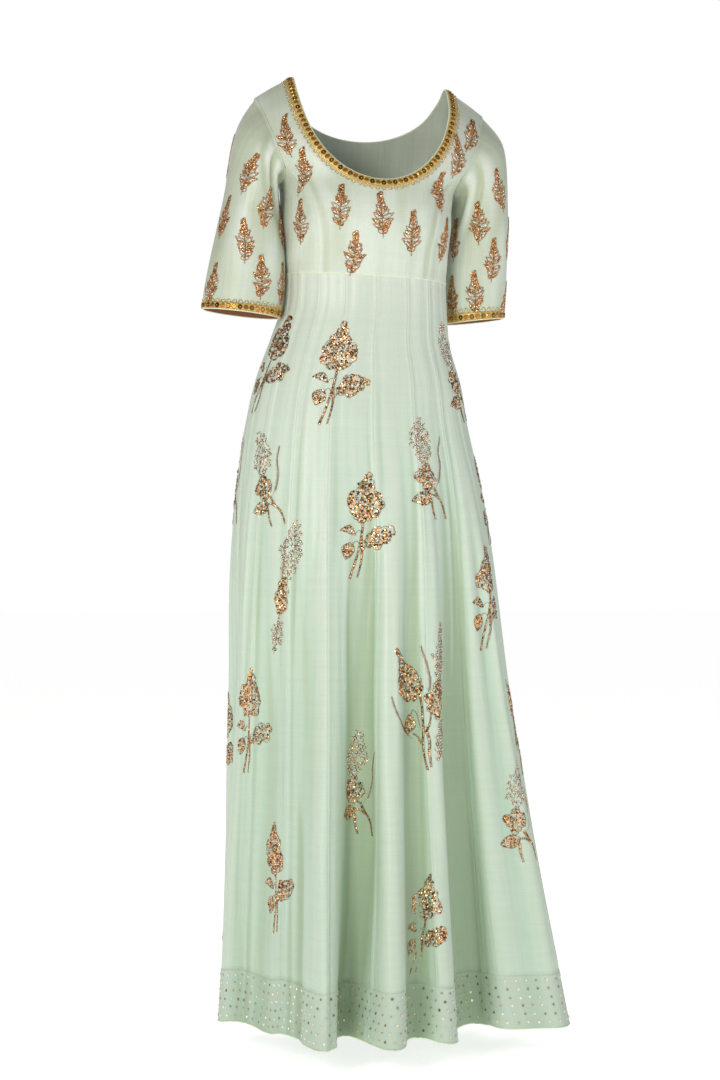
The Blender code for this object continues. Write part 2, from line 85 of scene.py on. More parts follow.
def output(tree, kind, inputs=None, **settings):
    """What a new node of that kind gives first."""
    return node(tree, kind, inputs, **settings).outputs[0]


def add_object(name, data):
    """An object for a mesh, a lamp or a camera, put into the scene."""
    item = bpy.data.objects.new(name, data)
    bpy.context.scene.collection.objects.link(item)
    return item


def triangles(item):
    """How many triangles a piece has."""
    return sum(len(face.vertices) - 2 for face in item.data.polygons)


print("mint in linear:", [round(c, 3) for c in linear("#d3e2cf")])

# %% [markdown]
# ## The shape of the gown as formulas
# A tailor measures a body ring by ring. Here each table has a row for each ring or fold line, and a smooth
# curve runs through the rows. Three functions then give any point of the cloth: `bodice` from its place
# across and its place from the front waist over the shoulder to the back waist, `skirt` from its place
# round the waist, counted in kalis, and its height, and `sleeve` from its place round the arm and its ring.

# %% Sizes and the tables of the bodice
WAIST_Z, HIP_Z, BAND_Z, HEM_Z = -0.307, -0.620, -1.378, -1.461
LEAN = 0.050  # the left shoulder hangs lower by this share of the width
SHOULDER_EDGE, SHOULDER_SLOPE, SHOULDER_CURVE, SHOULDER_REACH = 0.114, 0.47, 2.0, 0.45
BUST = {"x": 0.078, "z": -0.226, "spread": 0.042, "rise": 0.010}
NECK_HALF_WIDTH, NECK_POWER = 0.121, 2.2
NECK_DEPTH = {False: 0.164, True: 0.085}  # of the front and of the back
PRINCESS_BLEND = 0.004  # height over which the princess seam turns into the armhole
CLOTH, SEAM_GAP, TINY = 0.0011, 0.0001, 1e-4

# station, height, half-width, depth (front is negative), sideways shift, squareness
BODICE_ROWS = (
    (0.0, -0.307, 0.126, -0.095, -0.007, 2.2),
    (0.13, -0.268, 0.128, -0.106, -0.007, 2.2),
    (0.3, -0.222, 0.132, -0.117, -0.007, 2.3),
    (0.42, -0.188, 0.132, -0.117, -0.006, 2.4),
    (0.5, -0.164, 0.137, -0.112, -0.005, 2.4),
    (0.62, -0.128, 0.172, -0.101, -0.004, 2.4),
    (0.78, -0.078, 0.194, -0.078, -0.002, 2.4),
    (0.92, -0.028, 0.2, -0.044, -0.001, 2.3),
    (1.0, 0.0, 0.202, -0.002, 0.0, 2.3),
    (1.08, -0.02, 0.2, 0.04, -0.001, 2.3),
    (1.24, -0.072, 0.192, 0.074, -0.002, 2.4),
    (1.4, -0.128, 0.172, 0.092, -0.004, 2.4),
    (1.52, -0.164, 0.137, 0.097, -0.005, 2.4),
    (1.6, -0.188, 0.132, 0.097, -0.006, 2.4),
    (1.74, -0.222, 0.131, 0.094, -0.007, 2.3),
    (1.88, -0.268, 0.127, 0.089, -0.007, 2.2),
    (2.0, -0.307, 0.126, 0.085, -0.007, 2.2),
)
# height, share of the way from the centre line to the side seam
ARMHOLE_ROWS = (
    (-0.168, 1.0),
    (-0.1665, 0.93),
    (-0.16, 0.82),
    (-0.148, 0.71),
    (-0.13, 0.63),
    (-0.1, 0.59),
    (-0.06, 0.6),
    (-0.025, 0.635),
    (0.0, 0.67),
)
# height, half-width of the centre front at the princess seam
PRINCESS_ROWS = (
    (-0.307, 0.087),
    (-0.268, 0.089),
    (-0.222, 0.097),
    (-0.188, 0.106),
    (-0.172, 0.113),
    (-0.16, 0.123),
    (-0.152, 0.135),
)

# %% The tables of the skirt and the sleeves
KALIS, KALIS_PER_BAND = 18, 3
# height, right side, left side, front, back, squareness
SKIRT_ROWS = (
    (-1.461, -0.224, 0.28, 0.2, 0.225, 2.0),
    (-1.0, -0.214, 0.212, 0.176, 0.186, 2.1),
    (-0.62, -0.204, 0.17, 0.142, 0.142, 2.2),
    (-0.53, -0.191, 0.152, 0.127, 0.127, 2.2),
    (-0.47, -0.177, 0.143, 0.116, 0.115, 2.2),
    (-0.4, -0.151, 0.124, 0.104, 0.098, 2.2),
    (-0.36, -0.137, 0.121, 0.098, 0.09, 2.2),
    (-0.307, -0.133, 0.119, 0.095, 0.085, 2.2),
)
# place in kalis from the centre front, x and y at the hem, height where it starts, 1 in a trough
FOLD_LINES = (
    (-2.5, -0.174, -0.049, -0.46, 0),
    (-2.0, -0.15, -0.111, -0.5, 1),
    (-1.4, -0.137, -0.202, -0.46, 0),
    (-0.85, -0.101, -0.224, -0.46, 0),
    (-0.42, -0.076, -0.147, -0.52, 1),
    (0.38, -0.004, -0.249, -0.46, 0),
    (0.74, 0.03, -0.182, -0.46, 1),
    (1.12, 0.081, -0.216, -0.44, 0),
    (1.65, 0.13, -0.074, -0.44, 1),
    (2.3, 0.208, -0.091, -0.44, 0),
    (3.0, 0.308, -0.053, -0.5, 0),
    (3.5, 0.29, 0.012, -0.5, 1),
    (4.1, 0.334, 0.062, -0.5, 0),
    (4.7, 0.266, 0.075, -0.5, 1),
    (5.4, 0.296, 0.151, -0.5, 0),
    (6.0, 0.221, 0.127, -0.48, 1),
    (6.7, 0.226, 0.22, -0.48, 0),
    (7.3, 0.153, 0.167, -0.46, 1),
    (8.0, 0.141, 0.256, -0.46, 0),
    (8.6, 0.077, 0.193, -0.46, 1),
    (9.3, 0.054, 0.276, -0.46, 0),
    (9.9, -0.001, 0.206, -0.46, 1),
    (10.6, -0.037, 0.276, -0.46, 0),
    (11.2, -0.078, 0.207, -0.46, 1),
    (11.9, -0.127, 0.26, -0.48, 0),
    (12.5, -0.14, 0.183, -0.48, 1),
    (13.2, -0.198, 0.207, -0.5, 0),
    (13.8, -0.176, 0.135, -0.5, 1),
    (14.45, -0.222, 0.09, -0.48, 0),
    (15.05, -0.188, 0.012, -0.46, 1),
)
FOLD_GROWTH, FOLD_FULLNESS, TROUGH_LIFT = 1.25, 1.7, 0.006
# share of a fold that grows from its start, and share that comes in softly
FOLD_AT_ONCE, FOLD_LATER = 0.55, 0.45
print(len(FOLD_LINES), "crests and troughs in the skirt")

# outer x, outer z, inner x, inner z, half-depth, y of the middle; the right arm has x reversed
SLEEVE_ROWS = {
    "right": (
        (0.2075, -0.0915, 0.144, -0.18, 0.066, 0.002),
        (0.2262, -0.1892, 0.1402, -0.21, 0.062, 0.0),
        (0.2373, -0.2375, 0.137, -0.242, 0.058, -0.003),
        (0.2515, -0.298, 0.134, -0.298, 0.054, -0.008),
        (0.2607, -0.343, 0.1378, -0.344, 0.052, -0.012),
        (0.2626, -0.368, 0.144, -0.3762, 0.051, -0.014),
    ),
    "left": (
        (0.213, -0.085, 0.1345, -0.18, 0.066, 0.004),
        (0.222, -0.1892, 0.132, -0.21, 0.062, 0.008),
        (0.223, -0.2375, 0.13, -0.242, 0.058, 0.014),
        (0.223, -0.298, 0.127, -0.298, 0.055, 0.022),
        (0.222, -0.335, 0.127, -0.343, 0.053, 0.028),
        (0.221, -0.352, 0.1285, -0.366, 0.052, 0.03),
    ),
}
SIDE_SIGN = {"right": -1.0, "left": 1.0}
CUFF_EDGE, CUFF_LACE, CUFF_FACING = 6.0, 5.57, 5.0  # rings of the cuff's edge, its lace and its facing


# %% Smooth curves through a table
def paired(u, v):
    """Two places as arrays of one shape."""
    return np.broadcast_arrays(np.asarray(u, float), np.asarray(v, float))


def between(share, span, ends, slopes):
    """Smoothly from one end to the next, leaving and reaching them with their slopes."""
    turn = share**2 * (3 - 2 * share)
    steer = share * (1 - share)
    straight = (1 - turn) * ends[0] + turn * ends[1]
    return straight + steer * (1 - share) * span * slopes[0] - steer * share * span * slopes[1]


def smooth(rows, at, loop=None, fullness=1.0):
    """Smooth curve through a table whose first column is the place; fullness above 1 rounds its turns."""
    rows = np.asarray(rows, float)
    at = np.asarray(at, float)
    places = rows[:, 0]
    values = rows[:, 1:]
    if loop is not None:
        places = np.concatenate([places[-2:] - loop, places, places[:2] + loop])
        values = np.concatenate([values[-2:], values, values[:2]])
        at = (at - places[2]) % loop + places[2]
    slopes = fullness * np.gradient(values, places, axis=0)
    index = np.clip(np.searchsorted(places, at, side="right") - 1, 0, len(places) - 2)
    span = places[index + 1] - places[index]
    share = ((at - places[index]) / span)[..., None]
    ends, slopes = (values[index], values[index + 1]), (slopes[index], slopes[index + 1])
    return between(share, span[..., None], ends, slopes)


def ease(value, low, high):
    """Zero at low, one at high, smooth between."""
    share = np.clip((value - low) / (high - low), 0.0, 1.0)
    return share * share * (3.0 - 2.0 * share)


def bump_at(value, middle, width):
    """A soft hump of height 1."""
    return np.exp(-((value - middle) ** 2) / (2 * width**2))


def bent(value, squareness):
    """A sine or cosine turned into its superellipse share."""
    return np.sign(value) * np.abs(value) ** (2.0 / squareness)


def lean(points):
    """The upper part tips towards the left shoulder, fading out at the hips."""
    fade = 1.0 - ease(-points[..., 2], -WAIST_Z, -HIP_Z)
    points[..., 2] = points[..., 2] - LEAN * fade * points[..., 0]
    return points


def unit(vectors):
    """Vectors made one long."""
    return vectors / np.maximum(np.linalg.norm(vectors, axis=-1, keepdims=True), 1e-12)


def directions(surface, u, v):
    """Unit vectors across and up a surface and out of it."""
    across = surface(u + TINY, v) - surface(u - TINY, v)
    up = surface(u, v + TINY) - surface(u, v - TINY)
    return unit(across), unit(up), unit(np.cross(across, up))


print("half-width of the bodice at the bust:", round(float(smooth(BODICE_ROWS, 0.30)[1]), 3), "m")


# %% The bodice's surface
def bodice(turn, station):
    """Point at turn -1 to 1 (side seam to side seam) and station 0 to 2 (front waist to back waist)."""
    turn, station = paired(turn, station)
    row = smooth(BODICE_ROWS, station)
    height, half, depth, shift, squareness = (row[..., column] for column in range(5))
    angle = turn * math.pi / 2
    x = half * bent(np.sin(angle), squareness)
    y = depth * bent(np.cos(angle), squareness)
    for side in (-1, 1):
        away = ((x - side * BUST["x"]) ** 2 + (height - BUST["z"]) ** 2) / (2 * BUST["spread"] ** 2)
        y = y - BUST["rise"] * np.exp(-away) * (depth < 0)
    beyond = np.maximum(np.abs(x) - SHOULDER_EDGE, 0.0)
    drop = SHOULDER_SLOPE * beyond + SHOULDER_CURVE * beyond**2
    height = height - drop * (1.0 - ease(np.abs(station - 1.0), 0.0, SHOULDER_REACH))
    return lean(np.stack([x + shift, y, height], axis=-1))


def turn_at(x, station):
    """Turn whose half-width from the centre line is x."""
    row = smooth(BODICE_ROWS, station)
    share = np.clip(np.asarray(x) / row[..., 1], -1.0, 1.0)
    return np.arcsin(bent(share, 4.0 / row[..., 4])) / (math.pi / 2)


def station_at(height, back):
    """Station of a height, on the front or on the back."""
    stations = np.linspace(1.0, 2.0 if back else 0.0, 400)
    heights = smooth(BODICE_ROWS, stations)[:, 0]
    return np.interp(-np.asarray(height), -heights, stations)


def height_at(station):
    """Height of a station, before the shoulder slopes."""
    return smooth(BODICE_ROWS, station)[..., 0]


def armhole_turn(station):
    """Turn of the armhole at a station; 1 below the underarm."""
    height = height_at(station)
    underarm = ARMHOLE_ROWS[0][0]
    edge = smooth(ARMHOLE_ROWS, np.maximum(height, underarm))[..., 0]
    return np.where(height <= underarm, 1.0, edge)


def neck_turn(station, back):
    """Turn of the neck edge at a station; 0 below the neck."""
    share = np.clip(-height_at(station) / NECK_DEPTH[back], 0.0, 1.0)
    half = NECK_HALF_WIDTH * np.sqrt(np.maximum(1.0 - share**NECK_POWER, 0.0))
    return turn_at(half, station)


def princess_turn(station):
    """Turn of the princess seam, then of the armhole above it."""
    height = height_at(station)
    top = PRINCESS_ROWS[-1][0]
    seam = turn_at(smooth(PRINCESS_ROWS, np.minimum(height, top))[..., 0], station)
    blend = ease(height, top, top + PRINCESS_BLEND)
    return seam * (1 - blend) + armhole_turn(station) * blend


# %% The skirt's surface
def skirt_base(kali, height):
    """Point of the unfolded skirt at a place round it, in kalis from the centre front."""
    row = smooth(SKIRT_ROWS, height)
    right, left, front, back, squareness = (row[..., column] for column in range(5))
    angle = 2 * math.pi * kali / KALIS
    x = (left + right) / 2 + (left - right) / 2 * bent(np.sin(angle), squareness)
    facing = bent(np.cos(angle), squareness)
    y = -facing * np.where(facing > 0, front, back)
    return np.stack([x, y, height + 0.0 * x], axis=-1)


def skirt(kali, height):
    """Point of the folded skirt; height is the unlifted one."""
    kali, height = paired(kali, height)
    fold = smooth(FOLD_LINES, kali, loop=KALIS, fullness=FOLD_FULLNESS)
    points = skirt_base(kali, height)
    hem = skirt_base(kali, np.full(kali.shape, HEM_Z))
    start = fold[..., 2]
    share = np.maximum((start - height) / (start - HEM_Z), 0.0)
    growth = (share**FOLD_GROWTH * (FOLD_AT_ONCE + FOLD_LATER * ease(share, 0.0, 0.5)))[..., None]
    points[..., :2] += growth * (fold[..., :2] - hem[..., :2])
    points[..., 2] += TROUGH_LIFT * fold[..., 3] * ease(share, 0.3, 1.0)
    return lean(points)


# %% The sleeve's surface
ARMHOLE_POINTS, ARMHOLE_CROWDING = 240, 1.2  # the points of the armhole crowd at the shoulder


def armhole_run(side, back):
    """One half of the armhole, from the shoulder down to the underarm: turns, stations and points."""
    places = np.linspace(0.0, 1.0, ARMHOLE_POINTS)
    heights = ARMHOLE_ROWS[0][0] * np.sin(places * math.pi / 2) ** ARMHOLE_CROWDING
    stations = station_at(heights, back)
    turns = SIDE_SIGN[side] * armhole_turn(stations)
    return turns, stations, bodice(turns, stations)


def run_length(points):
    """Length along a row of points, or along every row of a grid at once."""
    steps = np.linalg.norm(np.diff(points, axis=0), axis=-1)
    return np.concatenate([np.zeros_like(steps[:1]), np.cumsum(steps, axis=0)])


def point_at(path, length, at):
    """Point of a path at a length along it."""
    return np.stack([np.interp(at, length, path[:, axis]) for axis in range(path.shape[1])], axis=-1)


ARMHOLES = {(side, back): armhole_run(side, back) for side in SIDE_SIGN for back in (False, True)}


def armhole(side, turn):
    """Armhole seam: turn 0 at the shoulder, 0.25 at the front, 0.5 at the underarm, 0.75 at the back."""
    turn = np.asarray(turn, float) % 1.0
    down = 1.0 - np.abs(turn * 2.0 - 1.0)
    halves = []
    for back in (False, True):
        run = ARMHOLES[side, back][2]
        length = run_length(run)
        halves.append(point_at(run, length, down * length[-1]))
    return np.where((turn > 0.5)[..., None], halves[1], halves[0])


def sleeve(side, turn, row):
    """Point of a sleeve; row 0 is the armhole, and the others are the rings of its table."""
    turn, row = paired(turn, row)
    sign = SIDE_SIGN[side]
    angle = 2 * math.pi * turn
    rings = [armhole(side, turn)]
    for outer_x, outer_z, inner_x, inner_z, depth, middle_y in SLEEVE_ROWS[side]:
        outer = lean(np.array([sign * outer_x, middle_y, outer_z]))
        inner = lean(np.array([sign * inner_x, middle_y, inner_z]))
        cosine = np.cos(angle)[..., None]
        sideways = np.stack([0 * angle, -depth * np.sin(angle), 0 * angle], axis=-1)
        rings.append((outer + inner) / 2 + (outer - inner) / 2 * cosine + sideways)
    rings = np.array(rings).reshape(len(rings), -1, 3)
    slopes = np.gradient(rings, axis=0)
    index = np.clip(np.floor(row).astype(int), 0, len(rings) - 2).reshape(-1)
    each = np.arange(index.size)
    ends = rings[index, each], rings[index + 1, each]
    slopes = slopes[index, each], slopes[index + 1, each]
    points = between(row.reshape(-1, 1) - index[:, None], 1.0, ends, slopes)
    return points.reshape(turn.shape + (3,))


armhole_round = sum(run_length(ARMHOLES["right", back][2])[-1] for back in (False, True))
hem_round = run_length(skirt(np.linspace(0, KALIS, 2000), HEM_Z))[-1]
print("armhole", round(float(armhole_round), 3), "m round, hem", round(float(hem_round), 2), "m round")

# %% [markdown]
# ## Creases and seams
# Cloth that is held only at the shoulders and the waist falls in long soft folds, and between them it
# ripples. The big folds are in the skirt's formula. The ripples, the drag lines at the armholes and the
# little gathers under the neck are rows of a table: where each lies, how long, how wide and how deep it is.
# They are moved in or out of the cloth along its own direction. A seam shows as a thin ridge where the
# turnings are pressed, with a soft hollow beside it.

# %% Creases of the skirt
# place at the top and at the bottom in kalis, top height, bottom height, width in kalis, ridge in millimetres
SKIRT_CREASES = [
    (-0.1, -0.08, -0.56, -1.42, 0.11, -7.0),
    (-0.55, -0.5, -0.78, -1.43, 0.15, 5.5),
    (0.05, 0.22, -0.48, -1.25, 0.07, 2.4),
    (0.25, 0.28, -0.64, -1.15, 0.04, -1.4),
    (0.33, 0.4, -0.6, -1.1, 0.05, 1.4),
    (0.56, 0.6, -0.42, -1.0, 0.06, -1.6),
    (0.92, 0.96, -0.38, -1.18, 0.05, 1.8),
    (1.05, 1.05, -0.76, -1.3, 0.04, -1.6),
    (1.2, 1.16, -0.52, -1.25, 0.05, 1.6),
    (1.34, 1.3, -0.34, -0.78, 0.05, -1.6),
    (1.52, 1.45, -0.34, -0.86, 0.06, 1.8),
    (1.46, 1.38, -0.9, -1.461, 0.14, -5.0),
    (1.74, 1.68, -0.98, -1.461, 0.12, 4.2),
    (1.74, 1.78, -0.42, -1.0, 0.05, 1.8),
    (1.98, 2.06, -0.52, -1.461, 0.12, -5.4),
    (2.24, 2.3, -0.56, -1.461, 0.11, 4.4),
    (2.5, 2.52, -0.6, -1.461, 0.12, -5.6),
    (2.74, 2.78, -0.64, -1.461, 0.1, 4.0),
    (2.9, 2.94, -0.44, -1.2, 0.06, -2.6),
    (-0.22, -0.21, -0.33, -0.62, 0.04, -1.3),
    (0.0, 0.02, -0.32, -0.56, 0.05, 1.2),
    (-0.42, -0.4, -0.32, -0.7, 0.05, 1.3),
    (-0.62, -0.6, -0.56, -1.0, 0.06, 1.9),
    (-0.8, -0.78, -0.34, -0.78, 0.05, -1.3),
    (-1.02, -1.12, -0.62, -1.461, 0.16, 3.6),
    (-1.25, -1.3, -0.42, -0.82, 0.05, -1.6),
    (-1.46, -1.58, -0.7, -1.461, 0.18, -4.8),
    (-1.62, -1.66, -0.36, -0.86, 0.06, 1.9),
    (-1.83, -1.86, -0.4, -0.92, 0.05, -1.6),
    (-2.0, -2.06, -0.56, -1.461, 0.17, 4.2),
    (-2.28, -2.2, -0.52, -0.98, 0.06, -1.6),
    (-2.48, -2.54, -0.8, -1.461, 0.16, -4.4),
    (-2.66, -2.7, -0.36, -0.82, 0.06, -1.6),
    (-2.92, -2.96, -0.7, -1.461, 0.15, 3.6),
    (-1.2, -1.22, -1.02, -1.461, 0.1, 2.2),
    (-0.95, -0.96, -1.08, -1.461, 0.06, -1.8),
    (0.3, 0.26, -1.08, -1.461, 0.07, 2.0),
    (1.12, 1.14, -1.12, -1.461, 0.06, -2.2),
    (-1.72, -1.74, -1.06, -1.461, 0.09, -2.4),
    (-0.36, -0.33, -0.312, -0.42, 0.03, 1.0),
    (-1.46, -1.44, -0.312, -0.44, 0.04, -1.0),
    (0.46, 0.47, -0.312, -0.43, 0.03, -0.9),
    (0.78, 0.79, -0.312, -0.46, 0.04, 1.0),
    (1.64, 1.62, -0.312, -0.43, 0.04, -1.0),
]
# Ripples of the sides and the back, scattered evenly between the listed ones.
chance = np.random.default_rng(18)
for place in np.arange(3.15, 15.0, 0.19):
    top = chance.uniform(-0.80, -0.32)
    bottom = max(top - chance.uniform(0.30, 0.85), HEM_Z)
    ridge = (1 if chance.random() < 0.5 else -1) * chance.uniform(1.3, 2.6)
    start = place + chance.uniform(-0.06, 0.06)
    width = chance.uniform(0.045, 0.085)
    SKIRT_CREASES.append((start, start + chance.uniform(-0.08, 0.08), top, bottom, width, ridge))
print(len(SKIRT_CREASES), "creases in the skirt")


# %% Seams and cloth of the skirt
# height, distance of its middle from the seam, width; the armhole's distances are in rings of the sleeve
SEAM_RIDGE, SEAM_HOLLOW, FAR_HOLLOW = (0.0008, 0.0022, 0.0010), (0.0013, 0.0085, 0.0042), 0.45
BAND_RIDGE, BAND_HOLLOW = (0.0008, -0.0024, 0.0015), (0.0008, 0.0060, 0.0035)
WAIST_RIDGE = (0.0005, 0.0012, 0.0012)
ARMHOLE_RIDGE, ARMHOLE_HOLLOW = (0.0009, 0.035, 0.02), (0.0006, 0.14, 0.05)
CREASE_GROWTH, CREASE_FADE = 0.30, 0.72  # shares of a crease over which it deepens, and after which it fades
CREASE_SWAY, SWAY_RATE = 0.03, 11.0
CREASE_UNIT, SLEEVE_CREASE_UNIT = 0.001, 0.0012  # metres to one unit of a crease's height
WAIST_SHARE, FULL_FROM = 0.22, (0.42, 0.85)  # creases are shallow at the waist and full below the hips
# reach in kalis, difference in height that counts as full, part in the painted fold shade
PAINTED_SHADE_REACHES = ((0.09, 0.0009, 0.55), (0.42, 0.014, 0.75))
PRINCESS_END = (-0.165, -0.150)  # the ridge beside the princess seam fades out between these heights


def ridge_at(distance, line):
    """Height of a soft line at a distance from the seam."""
    height, middle, width = line
    return height * bump_at(distance, middle, width)


def seam_relief(distance, to_left):
    """Height in metres at a distance from a seam whose turnings are pressed to one side."""
    share = np.where(to_left, 1.0, FAR_HOLLOW)
    return ridge_at(distance, SEAM_RIDGE) - ridge_at(distance, SEAM_HOLLOW) * share


def skirt_relief(kali, height):
    """How far the finished cloth stands out of the skirt's formula."""
    relief = np.zeros(np.broadcast(kali, height).shape)
    for high, low, top, bottom, width, ridge in SKIRT_CREASES:
        share = np.clip((top - height) / (top - bottom), 0.0, 1.0)
        away = (kali - high - (low - high) * share + KALIS / 2) % KALIS - KALIS / 2
        fade_out = 1.0 if bottom <= HEM_Z else 1 - ease(share, CREASE_FADE, 1.0)
        along = ease(share, 0.0, CREASE_GROWTH) * fade_out
        sway = CREASE_SWAY * np.sin((height + high) * SWAY_RATE)
        relief = relief + CREASE_UNIT * ridge * along * bump_at(away + sway, 0.0, width)
    relief = relief * (WAIST_SHARE + (1 - WAIST_SHARE) * ease(-height, *FULL_FROM))
    step = 0.01
    wide = np.linalg.norm(skirt(kali + step, height) - skirt(kali - step, height), axis=-1) / (2 * step)
    from_seam = kali - np.round(kali)
    relief = relief + seam_relief(np.abs(from_seam) * wide, from_seam > 0)
    near_band = height - BAND_Z
    pucker = 1 + 0.35 * np.sin(kali * 19.0) + 0.25 * np.sin(kali * 43.0 + 1.0)
    relief = relief + pucker * ridge_at(near_band, BAND_RIDGE) - ridge_at(near_band, BAND_HOLLOW)
    return relief + ridge_at(WAIST_Z - height, WAIST_RIDGE)


def skirt_cloth(kali, height, lift=0.0):
    """Point of the finished skirt, raised by lift."""
    kali, height = paired(kali, height)
    out = directions(skirt, kali, height)[2]
    return skirt(kali, height) + (skirt_relief(kali, height) + lift)[..., None] * out


def painted_fold_shade(kali, height):
    """Painted light of the skirt: -1, full painted shade, deep in a hollow, 1, full painted highlight, on the
    crest of a fold, from how far the cloth stands out there.
    """
    here, out = skirt_cloth(kali, height), directions(skirt, kali, height)[2]
    tone = np.zeros(here.shape[:-1])
    for reach, full, part in PAINTED_SHADE_REACHES:
        beside = (skirt_cloth(kali - reach, height) + skirt_cloth(kali + reach, height)) / 2
        tone += part * np.clip(np.sum((here - beside) * out, axis=-1) / full, -1, 1)
    return np.clip(tone * ease(-height, 0.33, 0.62), -1, 1)


# %% Creases of the bodice and the sleeves
# x, height, length, width, lean sideways, height of the ridge in millimetres; the second list is the back
BODICE_CREASES = (
    (
        (0.012, -0.2, 0.05, 0.0045, 0.0, 0.7),
        (-0.004, -0.196, 0.042, 0.004, 0.02, -0.6),
        (-0.02, -0.21, 0.055, 0.005, 0.04, 0.6),
        (0.03, -0.206, 0.048, 0.005, -0.03, -0.5),
        (-0.062, -0.262, 0.06, 0.008, -0.1, -0.6),
        (0.058, -0.266, 0.06, 0.008, 0.12, -0.6),
        (-0.112, -0.118, 0.07, 0.008, -0.55, 1.1),
        (-0.098, -0.15, 0.06, 0.007, -0.75, -0.9),
        (0.112, -0.12, 0.07, 0.008, 0.55, 1.0),
        (0.098, -0.154, 0.06, 0.007, 0.75, -0.9),
        (-0.118, -0.272, 0.045, 0.006, 0.45, 0.9),
        (0.116, -0.268, 0.045, 0.006, -0.4, 0.9),
    ),
    (
        (-0.07, -0.262, 0.06, 0.009, 0.35, 1.0),
        (0.066, -0.258, 0.06, 0.009, -0.35, 1.0),
        (0.004, -0.25, 0.08, 0.007, 0.02, -0.8),
        (-0.104, -0.14, 0.07, 0.009, -0.4, -1.1),
        (0.106, -0.136, 0.07, 0.009, 0.42, -1.0),
        (-0.034, -0.19, 0.06, 0.008, 0.1, 0.7),
        (0.04, -0.186, 0.06, 0.008, -0.12, 0.7),
    ),
)
# place round the arm, ring where it is deepest, length in rings, width, twist, height in steps of 1.2 mm
SLEEVE_CREASES = {
    "right": (
        (0.405, 1.1, 2.1, 0.015, 0.02, -4.2),
        (0.36, 1.1, 2.0, 0.016, 0.032, 3.4),
        (0.318, 1.2, 1.8, 0.014, 0.038, -3.2),
        (0.278, 0.8, 1.5, 0.014, 0.052, 2.4),
        (0.238, 0.9, 1.2, 0.013, 0.05, -2.0),
        (0.215, 2.3, 1.2, 0.026, 0.03, -1.2),
        (0.16, 2.9, 1.5, 0.03, -0.02, 1.0),
        (0.4, 2.6, 1.4, 0.024, 0.02, -1.7),
        (0.335, 3.9, 1.3, 0.024, -0.015, 1.3),
        (0.06, 3.4, 1.4, 0.03, 0.01, -1.0),
        (0.64, 1.0, 1.1, 0.022, -0.05, 2.0),
        (0.7, 1.3, 1.2, 0.022, -0.045, -1.7),
        (0.77, 2.2, 1.3, 0.026, -0.03, 1.3),
        (0.86, 3.3, 1.4, 0.028, 0.02, -1.1),
        (0.55, 3.0, 1.4, 0.026, 0.01, 1.4),
    ),
    "left": (
        (0.4, 1.2, 1.8, 0.016, 0.02, -2.8),
        (0.35, 1.1, 1.7, 0.018, 0.038, 2.5),
        (0.305, 1.4, 1.6, 0.016, 0.04, -2.1),
        (0.24, 0.9, 0.9, 0.018, 0.05, 1.2),
        (0.19, 2.5, 1.3, 0.028, 0.02, -1.2),
        (0.41, 3.0, 1.4, 0.024, 0.01, 1.5),
        (0.12, 3.3, 1.4, 0.028, -0.02, 1.0),
        (0.65, 1.1, 1.1, 0.022, -0.05, 2.1),
        (0.715, 1.4, 1.2, 0.022, -0.045, -1.6),
        (0.79, 2.4, 1.3, 0.026, -0.02, 1.2),
        (0.88, 3.2, 1.4, 0.028, 0.015, -1.2),
        (0.56, 3.1, 1.4, 0.026, -0.01, -1.4),
    ),
}


# %% Cloth of the bodice and the sleeves
def bodice_relief(turn, station):
    """How far the finished cloth stands out of the bodice's formula."""
    turn, station = paired(turn, station)
    row = smooth(BODICE_ROWS, station)
    height = row[..., 0]
    x = row[..., 1] * bent(np.sin(turn * math.pi / 2), row[..., 4])
    relief = np.zeros(turn.shape)
    for back, rows in enumerate(BODICE_CREASES):
        shown = (station > 1.0) == bool(back)
        for middle_x, middle_z, length, width, slant, ridge in rows:
            off = x - middle_x - slant * (height - middle_z)
            along = bump_at(height, middle_z, length / 2)
            relief = relief + shown * CREASE_UNIT * ridge * bump_at(off, 0, width) * along
    seam = smooth(PRINCESS_ROWS, np.clip(height, PRINCESS_ROWS[0][0], PRINCESS_ROWS[-1][0]))[..., 0]
    from_seam = np.abs(x) - seam
    fade = (station < 1.0) * (1 - ease(height, *PRINCESS_END))
    relief = relief + fade * seam_relief(np.abs(from_seam), from_seam < 0)
    return relief + ridge_at(height - WAIST_Z, WAIST_RIDGE)


def bodice_cloth(turn, station, lift=0.0):
    """Point of the finished bodice, raised by lift."""
    out = directions(bodice, turn, station)[2]
    return bodice(turn, station) + (bodice_relief(turn, station) + lift)[..., None] * out


def sleeve_relief(side, turn, row):
    """How far the finished cloth stands out of the sleeve's formula."""
    relief = np.zeros(np.broadcast(turn, row).shape)
    for place, ring, length, width, twist, ridge in SLEEVE_CREASES[side]:
        away = (turn - place - twist * (row - ring) + 0.5) % 1.0 - 0.5
        along = bump_at(row, ring, length / 2)
        relief = relief + SLEEVE_CREASE_UNIT * ridge * bump_at(away, 0, width) * along
    relief = relief * ease(row, 0.0, 0.35) * (1 - 0.8 * ease(row, 4.6, 5.6))
    return relief + ridge_at(row, ARMHOLE_RIDGE) - ridge_at(row, ARMHOLE_HOLLOW)


def sleeve_cloth(side, turn, row, lift=0.0):
    """Point of a finished sleeve, raised by lift."""
    turn, row = paired(turn, row)
    out = outwards(SLEEVES[side], turn, np.maximum(row, 2 * TINY))
    return sleeve(side, turn, row) + (sleeve_relief(side, turn, row) + lift)[..., None] * out


# a surface as a formula, as finished cloth, and the sign that turns its directions outwards
Surface = namedtuple("Surface", "formula finished outward")


def outwards(cloth, u, v):
    """Unit vectors out of a piece of cloth."""
    return cloth.outward * directions(cloth.formula, u, v)[2]


